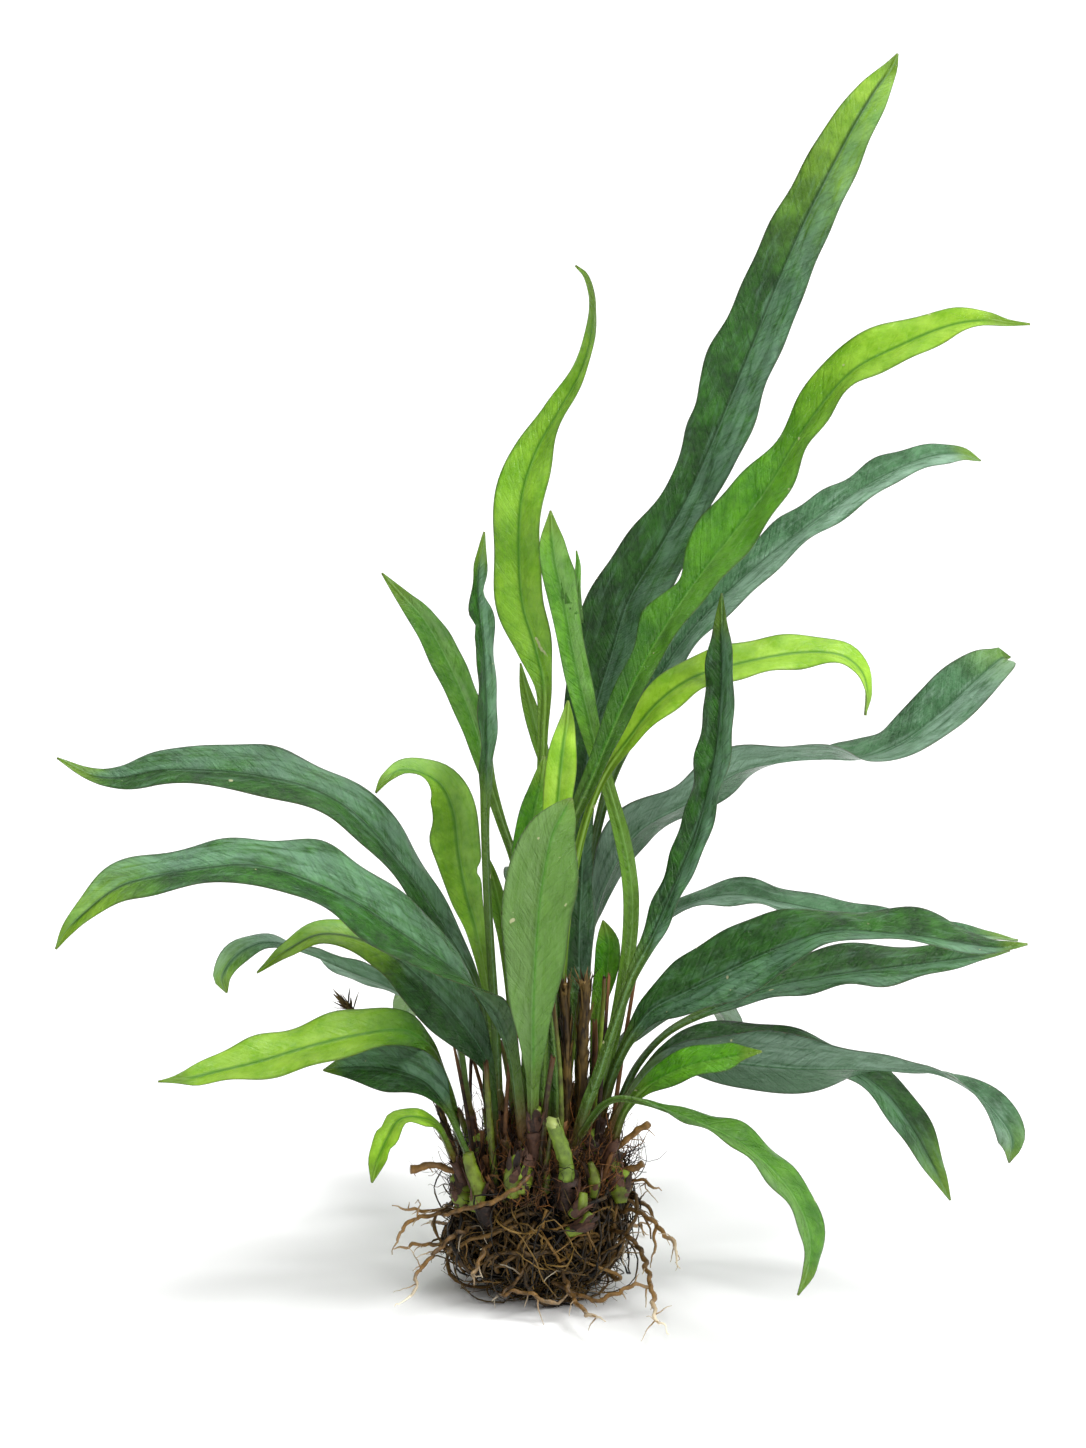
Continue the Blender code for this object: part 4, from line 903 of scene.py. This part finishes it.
def add_rhizome(name, ends, finish, scale_finish):
    """A green creeping stem with growth rings, and the brown scales that clothe it."""
    rng = random.Random(name)
    first, last = np.radians(ends)
    line = [
        surface_spot(way_at(*(first + (last - first) * t)), RHIZOME_LIFT)
        for t in np.linspace(0, 1, RHIZOME_STEPS)
    ]
    spots = smooth_rows(line, RHIZOME_STEP)
    count = len(spots)
    share = np.linspace(0, 1, count)
    radii = RHIZOME_RADIUS * (1 + 0.10 * waves(np.arange(count) * RHIZOME_STEP, (3, 5, 9), rng))
    radii *= 1 - 0.55 * ease(np.abs(share - 0.5) * 2, 0.72, 1.05)
    skin = Skin()
    shades = 0.5 + 0.3 * waves(share * 40, (4, 11), rng)
    skin.tube(spots, radii, 20, painted(shades, share))
    for _ in range(RHIZOME_KNOBS):
        i = rng.randint(count // 5, count - count // 5)
        out = unit(spots[i] - BALL_MIDDLE + random_way(rng) * 16)
        t = np.linspace(0, 1, len(KNOB_SWELLS))
        knob = spots[i] + np.outer(t, out) * (radii[i] + rng.uniform(0.8, 2.6))
        shade = rng.random()
        skin.tube(knob, rng.uniform(2.0, 3.4) * KNOB_SWELLS, 12, painted(shade, t, 0.5))
    skin.add(name + "_stem", finish, "rhizome", name)

    scales = Skin()
    clothe(scales, spots, radii * 0.96, count, RHIZOME_SCALES, 0.45, (3.5, 9), (0.7, 2), rng, -0.3)
    scales.add(name + "_scales", scale_finish, "rhizome")


def add_stalk(name, rows, finish, slot):
    """A dried or cut stalk with a fibrous skin. Its paint runs to 1 at the open end. Dried ones flake
    along their length and are torn into strips at the end."""
    rng = random.Random(name)
    rows = smooth_rows(rooted(rows, FROND_DEPTH), 1.0)
    count = len(rows)
    places = np.arange(count) * 1.0
    share = places / (count - 1)
    for axis in range(2):
        rows[:, axis] += 0.5 * waves(places, (11, 19, 31), rng) * share
    spots = rows[:, :3]
    radii = np.maximum(rows[:, 3], 0.5) * STALK_SLIMMING[slot] * (1 + 0.12 * waves(places, (5, 9, 17), rng))
    rings = tube_points(spots, radii, STALK_SIDES)
    for i in range(STALK_SIDES):
        ridge = 1 + 0.10 * math.sin(i * 2.4) + 0.05 * waves(places, (6, 15), rng)
        rings[:, i] = spots + (rings[:, i] - spots) * ridge[:, None]
    rings[-1] += unit(spots[-1] - spots[-3]) * ragged(rng, -2.5, 2.5, STALK_SIDES)
    skin = Skin()
    skin.take(rings, paint=painted(rng.uniform(0.2, 0.6), share, share == 1))
    if slot == "dried_stalk":
        along = course(spots)
        for _ in range(2 * count):
            i = rng.randrange(count - 3)
            out = unit(np.cross(along[i], random_way(rng)))
            foot = spots[i] + out * radii[i]
            add_scale(skin, foot, out, along[i], rng.uniform(3, 12), rng.uniform(0.3, 0.9), rng)
        for _ in range(TORN_STRIPS):
            out = unit(np.cross(along[-1], random_way(rng)))
            onward = unit(along[-1] + out * rng.uniform(0.1, 1.1) + random_way(rng) * 0.4)
            foot = spots[-rng.randint(2, 5)] + out * radii[-1] * 0.7
            add_scale(skin, foot, out, onward, rng.uniform(3, 10), rng.uniform(0.3, 0.9), rng)
    skin.add(name + "_stalk", finish, slot, name)


def add_crown_fibres(finish):
    """Brown dead fibres that stand up and lie across among the feet of the fronds."""
    rng = random.Random(12)
    skin = Skin()
    for _ in range(CROWN_FIBRES):
        way = way_at(rng.uniform(0, math.tau), math.radians(90 - 66 * rng.random() ** 0.8))
        standing = rng.random() < 0.65
        heading = unit(way * 0.7 + np.array((0, 0, 0.9 if standing else 0.1)) + random_way(rng) * 0.8)
        foot = surface_spot(way, rng.uniform(-2, 3))
        steps = rng.randint(5, 21 if standing else 12)
        spots = wiry_path(rng, foot, heading, steps, FIBRE_STEP, 0.09)
        share = np.linspace(0, 1, steps + 1)
        radii = rng.uniform(0.12, 0.36) * (1 - 0.65 * share)
        skin.tube(spots, radii, 4, painted(rng.random() ** FIBRE_DARKNESS, share))
    skin.add("crown_fibres", finish, "dried_stalk")


def add_stubs(name, count, seed, finish, slot):
    """Broken stalk feet that stand among the fronds, with ragged ends."""
    rng = random.Random(seed)
    skin = Skin()
    for _ in range(count):
        way = way_at(rng.uniform(0, math.tau), math.radians(rng.uniform(30, 82)))
        heading = unit(way * rng.uniform(0.3, 0.9) + np.array((0, 0, 1.0)) + random_way(rng) * 0.2)
        length = rng.uniform(8, 30) * (0.4 + 0.6 * rng.random())
        if rng.random() < SPENT_STALKS:
            heading = unit(heading + np.array((0, 0, 1.6)))
            length = rng.uniform(40, 85)
        t = np.linspace(0, 1, 9)
        bow = np.cross(heading, random_way(rng)) * 0.12
        spots = surface_spot(way, -2) + np.outer(t, heading) * length + np.outer(t * t, bow) * length
        radii = rng.uniform(0.7, 2.3 - length / 60) * (1.25 - 0.45 * t)
        radii *= 1 + 0.1 * waves(t * 9, (2, 3), rng)
        rings = tube_points(spots, radii, STUB_SIDES)
        rings[-1] += heading * ragged(rng, -1.5, 2.5, STUB_SIDES)
        skin.take(rings, paint=painted(rng.random(), t, ease(t, 0.75, 1.0)))
    skin.add(name, finish, slot)


def add_noses(finish, scale_finish):
    """Green noses of the creeping stems, half wrapped in their brown scales."""
    rng = random.Random(17)
    skin = Skin()
    scales = Skin()
    for rows in NOSES:
        rows = smooth_rows(seen(rows), 0.8)
        spots = rows[:, :3]
        count = len(rows)
        shade = rng.uniform(0.35, 0.75)
        radii = rows[:, 3] * 0.9 * (1 + 0.05 * waves(np.arange(count) * 1.0, (5, 9), rng))
        skin.tube(spots, radii, 16, painted(shade, np.linspace(0.1, 0.95, count)))
        clothe(scales, spots, rows[:, 3] * 0.88, count * 3 // 4, NOSE_SCALES, 0.3, (4, 10), (0.9, 2.2), rng)
    skin.add("green_noses", finish, "rhizome")
    scales.add("nose_scales", scale_finish, "rhizome")


def add_sheaths(finish):
    """Purple-brown papery sleeves round the feet of the fronds and of the cut stalk."""
    rng = random.Random(31)
    skin = Skin()
    for _, rows in [*FRONDS.values(), STALKS["cut_stalk_lime"]]:
        rows = smooth_rows(rooted(rows, FROND_DEPTH), 1.2)
        count = min(len(rows) * 3 // 5, rng.randint(5, 13))
        spots = rows[:count, :3]
        t = np.linspace(0, 1, count)
        radii = np.clip(rows[:count, 3], 1.6, 5.0) * (1.10 + 0.22 * t ** 3)
        rings = tube_points(spots, radii * (1 + 0.05 * waves(t * 12, (3, 5), rng)), SHEATH_SIDES)
        onward = unit(spots[-1] - spots[-3])
        for ring, share in ((-1, 1.0), (-2, 0.6)):
            rings[ring] += onward * ragged(rng, -2.2, 2.6, SHEATH_SIDES) * share
        skin.take(rings, paint=painted(rng.random(), t))
    skin.add("leaf_sheaths", finish, "dried_stalk")


def add_broken_roots(finish):
    """Blunt broken roots at the sides of the crown and the old strap across the front."""
    rng = random.Random(8)
    skin = Skin()
    for rows in BROKEN_ROOTS:
        rows = smooth_rows(seen(rows), 1.0)
        count = len(rows)
        places = np.arange(count) * 1.0
        spots = rows[:, :3] + bends(places, (6, 11), rng) * 0.4
        shade = rng.uniform(0.3, 0.6)
        radii = rows[:, 3] * (1 + 0.16 * waves(places, (3, 6), rng))
        skin.tube(spots, radii, 9, painted(shade, np.full(count, 0.5)))
        for _ in range(3):
            foot = rows[rng.randrange(count), :3]
            twig(rng, foot, random_way(rng), rng.randint(3, 7), 0.35, skin, shade)
    skin.add("broken_roots", finish, "root")


def add_core(finish):
    """The near-black heart of the root ball, which shows only between the roots: the dark root mass and
    painted shade deep inside the ball.
    """
    rings = []
    for height in np.linspace(-80, 86, 34):
        ring = []
        for compass in np.linspace(0, math.tau, 56, endpoint=False):
            way = way_at(compass, math.radians(height))
            spot = surface_spot(way, -CORE_DEPTH)
            spot += way * 1.4 * math.sin(compass * 9 + height * 0.21) * math.sin(height * 0.33)
            spot[2] = max(spot[2], 2.5)
            ring.append(spot)
        rings.append(ring)
    skin = Skin()
    skin.take(np.array(rings), paint=painted(0.0, np.zeros(len(rings))))
    skin.add("root_core", finish, "root_mass", "root_ball")


def node(tree, kind, links, **settings):
    """Adds a shader node. links gives each socket a value or another node's output."""
    made = tree.nodes.new("ShaderNode" + kind)
    for label, value in settings.items():
        setattr(made, label, value)
    for socket, value in links.items():
        if isinstance(value, bpy.types.NodeSocket):
            tree.links.new(value, made.inputs[socket])
        else:
            made.inputs[socket].default_value = value
    return made


def blank(name):
    """A new material and its emptied node tree."""
    finish = bpy.data.materials.new(name)
    finish.use_nodes = True
    finish.node_tree.nodes.clear()
    return finish, finish.node_tree


def blend(tree, share, low, high):
    """The colour low where share is 0, and high where it is 1."""
    return node(tree, "Mix", {0: share, 6: low, 7: high}, data_type="RGBA").outputs[2]


def compute(tree, operation, *values, **settings):
    """The result of a Math node."""
    return node(tree, "Math", dict(enumerate(values)), operation=operation, **settings).outputs[0]


def span(tree, value, start, end, low=0.0, high=1.0):
    """Runs from low to high while value runs from start to end, and stays there."""
    return node(tree, "MapRange", {0: value, 1: start, 2: end, 3: low, 4: high}).outputs[0]


def noise(tree, where, scale, detail, roughness, distortion=0.0):
    """The strength of a cloudy noise."""
    links = {"Vector": where, "Scale": scale, "Detail": detail, "Roughness": roughness,
             "Distortion": distortion}
    return node(tree, "TexNoise", links).outputs["Fac"]


def painted_axes(tree, label):
    """The painted vector of that label, and its three values."""
    vector = node(tree, "Attribute", {}, attribute_name=label).outputs["Vector"]
    return vector, node(tree, "SeparateXYZ", {0: vector}).outputs


def leaf_finish(kind):
    """Fern leaf: deep green under a bluish wax that lies in streaks and also paints the sheen, with
    more painted sheen on one half, netted veins, a fine pale midrib in a crease of painted shade,
    painted shade towards the foot of the blade, scorched edges and a soft gloss that shows its quilting."""
    shaded, open_green, wax_and_sheen_green, under = (linear(code) for code in LEAF_GREENS[kind])
    finish, tree = blank("fern_leaf_" + kind)
    place, (along_mm, across_mm, _) = painted_axes(tree, "leaf_place")
    _, (deep, across, below) = painted_axes(tree, "leaf_form")
    _, (young, dead, blade) = painted_axes(tree, "leaf_tone")
    out_mm = compute(tree, "ABSOLUTE", across_mm)
    reach = compute(tree, "ABSOLUTE", across)
    smooth = span(tree, young, 0.0, 1.0, 1.0, 0.35)

    # Cloudy mottling some 12 mm across, finer flecks, and streaks that run along the blade.
    clouds = noise(tree, place, 0.09, 7.0, 0.72)
    flecks = noise(tree, place, 0.45, 3.0, 0.6)
    drawn = node(tree, "VectorMath", {0: place, 1: (0.17, 1.0, 1.0)}, operation="MULTIPLY").outputs[0]
    streaks = noise(tree, drawn, 0.34, 6.0, 0.64, 0.5)
    cloud_share = span(tree, clouds, 0.38, 0.62)
    green = blend(tree, cloud_share, shaded, open_green)

    # Young growth towards the tip is lime, and the under side is paler.
    lime = blend(tree, cloud_share, *(linear(code) for code in YOUNG_GREENS))
    green = blend(tree, young, green, lime)
    green = blend(tree, compute(tree, "MULTIPLY", below, 0.7), green, under)

    # Bluish wax in streaks, which also paints the sheen of reflected light. One half of the blade gets more
    # of it than the other, as painted sheen from the light at one side.
    lean = span(tree, across, -0.12, 0.12, -0.11, 0.11)
    wax_and_sheen_share = span(tree, compute(tree, "ADD", streaks, lean), 0.42, 0.70, high=WAX_AND_SHEEN_DEPTH[kind])
    green = blend(tree, compute(tree, "MULTIPLY", wax_and_sheen_share, smooth), green, wax_and_sheen_green)

    # Side veins leave the midrib at a low slant, and fine grooves net the blade between them.
    slant = compute(tree, "MULTIPLY_ADD", out_mm, -1.3, along_mm)
    slow = compute(tree, "MULTIPLY", across_mm, 0.45)
    herringbone = node(tree, "CombineXYZ", {0: slant, 1: slow}).outputs[0]
    ribbing = noise(tree, herringbone, 0.2, 5.0, 0.66, 1.2)
    cells = node(tree, "TexVoronoi", {"Vector": herringbone, "Scale": 0.14}, feature="DISTANCE_TO_EDGE")
    groove = span(tree, cells.outputs["Distance"], 0.09, 0.0)
    veins = span(tree, ribbing, 0.50, 0.32, high=VEIN_DEPTH[kind])
    veins = compute(tree, "MAXIMUM", veins, compute(tree, "MULTIPLY", groove, 0.42 * VEIN_DEPTH[kind]))
    green = blend(tree, compute(tree, "MULTIPLY", veins, smooth), green, shaded)

    # The stalk is olive. Painted shade darkens the blade towards its foot and on some whole fronds, and the
    # thin edge is darker green.
    green = blend(tree, span(tree, blade, 1.0, 0.0, high=0.8), green, linear(STALK_GREEN))
    green = blend(tree, deep, green, linear(SHADE_AND_RIM_GREEN))
    green = blend(tree, span(tree, reach, 0.88, 0.98, high=0.5), green, linear(SHADE_AND_RIM_GREEN))

    # Painted shade in the crease at each side of the fine pale midrib.
    crease_shade = compute(tree, "MULTIPLY", span(tree, out_mm, 1.2, 0.25, high=0.8), blade)
    green = blend(tree, crease_shade, green, shaded)
    from_rib = compute(tree, "ABSOLUTE", compute(tree, "ADD", across_mm, -0.55))
    green = blend(tree, span(tree, from_rib, 0.4, 0.15, high=0.16), green, wax_and_sheen_green)

    # The edge is finely scorched, the tip and the foot of the stalk are brown, and scars are rare.
    edge = compute(tree, "MULTIPLY", span(tree, reach, 0.95, 1.0, high=0.7), span(tree, flecks, 0.38, 0.70))
    green = blend(tree, edge, green, linear(SCORCHED))
    green = blend(tree, dead, green, linear(DEAD_BROWN))
    scars = span(tree, noise(tree, place, 0.16, 2.0, 0.5), 0.755, 0.775, high=0.8)
    green = blend(tree, scars, green, linear(SCAR_PALE))

    height = compute(tree, "MULTIPLY_ADD", ribbing, 0.7, clouds)
    height = compute(tree, "MULTIPLY_ADD", streaks, 0.6, height)
    height = compute(tree, "MULTIPLY_ADD", groove, -0.12, height)
    bump = node(tree, "Bump", {"Strength": smooth, "Distance": 0.0019, "Height": height}).outputs["Normal"]
    wax = node(tree, "BsdfPrincipled", {
        "Base Color": green, "Roughness": span(tree, streaks, 0.3, 0.7, 0.2, 0.38), "Normal": bump,
        "Specular IOR Level": 0.14, "Coat Weight": 0.5, "Coat Roughness": 0.12, "Coat Normal": bump,
    })
    glow = node(tree, "BsdfTranslucent", {"Color": green, "Normal": bump})
    leaf = node(tree, "MixShader", {0: LEAF_GLOW, 1: wax.outputs[0], 2: glow.outputs[0]})
    node(tree, "OutputMaterial", {"Surface": leaf.outputs[0]})
    return finish


def fibre_finish(name, dark, light, tip, roughness, grain):
    """Root, bark and dried stalk: each strand has its own brown, with darker grain and a tip colour."""
    finish, tree = blank(name)
    _, (shade, _, tipped) = painted_axes(tree, "paint")
    where = node(tree, "TexCoord", {}).outputs["Object"]
    grains = noise(tree, where, grain, 4.0, 0.65)
    spread = compute(tree, "MULTIPLY_ADD", grains, 1.5, -0.75)
    share = compute(tree, "ADD", shade, spread, use_clamp=True)
    brown = blend(tree, share, linear(dark), linear(light))
    brown = blend(tree, tipped, brown, linear(tip))
    bump = node(tree, "Bump", {"Strength": 0.5, "Distance": 0.0004, "Height": grains})
    surface = node(tree, "BsdfPrincipled", {
        "Base Color": brown, "Roughness": roughness, "Normal": bump.outputs["Normal"],
        "Specular IOR Level": 0.3,
    })
    node(tree, "OutputMaterial", {"Surface": surface.outputs[0]})
    return finish


def add_floor():
    """A plain pale floor that reaches the horizon."""
    finish, tree = blank("studio_floor")
    paper = node(tree, "BsdfDiffuse", {"Color": linear(FLOOR_WHITE)})
    node(tree, "OutputMaterial", {"Surface": paper.outputs[0]})
    bpy.ops.mesh.primitive_plane_add(size=80, location=(0, 0, -0.0002))
    floor = bpy.context.object
    floor.name = "floor"
    floor.data.materials.append(finish)


def add_surroundings():
    """A world that brightens towards the light, with a white band at the horizon."""
    world = bpy.data.worlds.new("studio")
    world.use_nodes = True
    tree = world.node_tree
    tree.nodes.clear()
    way = node(tree, "TexCoord", {}).outputs["Generated"]
    bright = node(tree, "VectorMath", {0: way, 1: LIGHT_WAY}, operation="DOT_PRODUCT").outputs["Value"]
    strength = span(tree, bright, 0.0, 1.0, WALL_LIGHT, CEILING_LIGHT)
    height = node(tree, "SeparateXYZ", {0: way}).outputs[2]
    strength = compute(tree, "MAXIMUM", strength, span(tree, height, *HORIZON_BAND))
    white = node(tree, "Background", {"Color": (1.0, 1.0, 1.0, 1.0), "Strength": strength})
    node(tree, "OutputWorld", {"Surface": white.outputs[0]})
    bpy.context.scene.world = world


def place_facing(name, data, place):
    """Puts a light or camera at a place, so that it faces the plant's middle."""
    thing = bpy.data.objects.new(name, data)
    thing.location = place
    aim = Vector((0, 0, VIEW_MIDDLE * MM)) - thing.location
    thing.rotation_euler = aim.to_track_quat("-Z", "Y").to_euler()
    bpy.context.scene.collection.objects.link(thing)
    return thing


def add_studio():
    """The floor, the surroundings, the lights and the camera."""
    add_floor()
    add_surroundings()
    for name, (kind, place, power, settings) in LIGHTS.items():
        lamp = bpy.data.lights.new(name, kind)
        lamp.energy = power
        for label, value in settings.items():
            setattr(lamp, label, value)
        place_facing(name, lamp, place)
    view = bpy.data.cameras.new("camera")
    view.lens = LENS
    scene = bpy.context.scene
    scene.camera = place_facing("camera", view, Vector(EYE) * MM)
    scene.view_settings.view_transform = "Standard"


def build():
    """Adds every piece of the plant and its studio."""
    leaves = {kind: leaf_finish(kind) for kind in LEAF_GREENS}
    fibres = {name: fibre_finish(name, *look) for name, look in FIBRE_FINISHES.items()}
    for name, (kind, rows) in FRONDS.items():
        add_frond(name, kind, rows, leaves[kind])
    for name, (slot, rows) in STALKS.items():
        add_stalk(name, rows, fibres[slot], slot)
    for name, rows in ROOTS.items():
        add_root(name, rows, fibres["wiry_root"])
    for name, ends in RHIZOMES.items():
        add_rhizome(name, ends, fibres["creeping_stem"], fibres["papery_scale"])
    add_core(fibres["root_heart_shade"])
    for name, (finish, slot, *habit) in TANGLES.items():
        add_tangle(name, fibres[finish], slot, *habit)
    add_broken_roots(fibres["wiry_root"])
    for name, (finish, slot, count, seed) in STUBS.items():
        add_stubs(name, count, seed, fibres[finish], slot)
    add_noses(fibres["creeping_stem"], fibres["papery_scale"])
    add_sheaths(fibres["papery_scale"])
    add_crown_fibres(fibres["dead_fibre"])
    add_studio()


build()
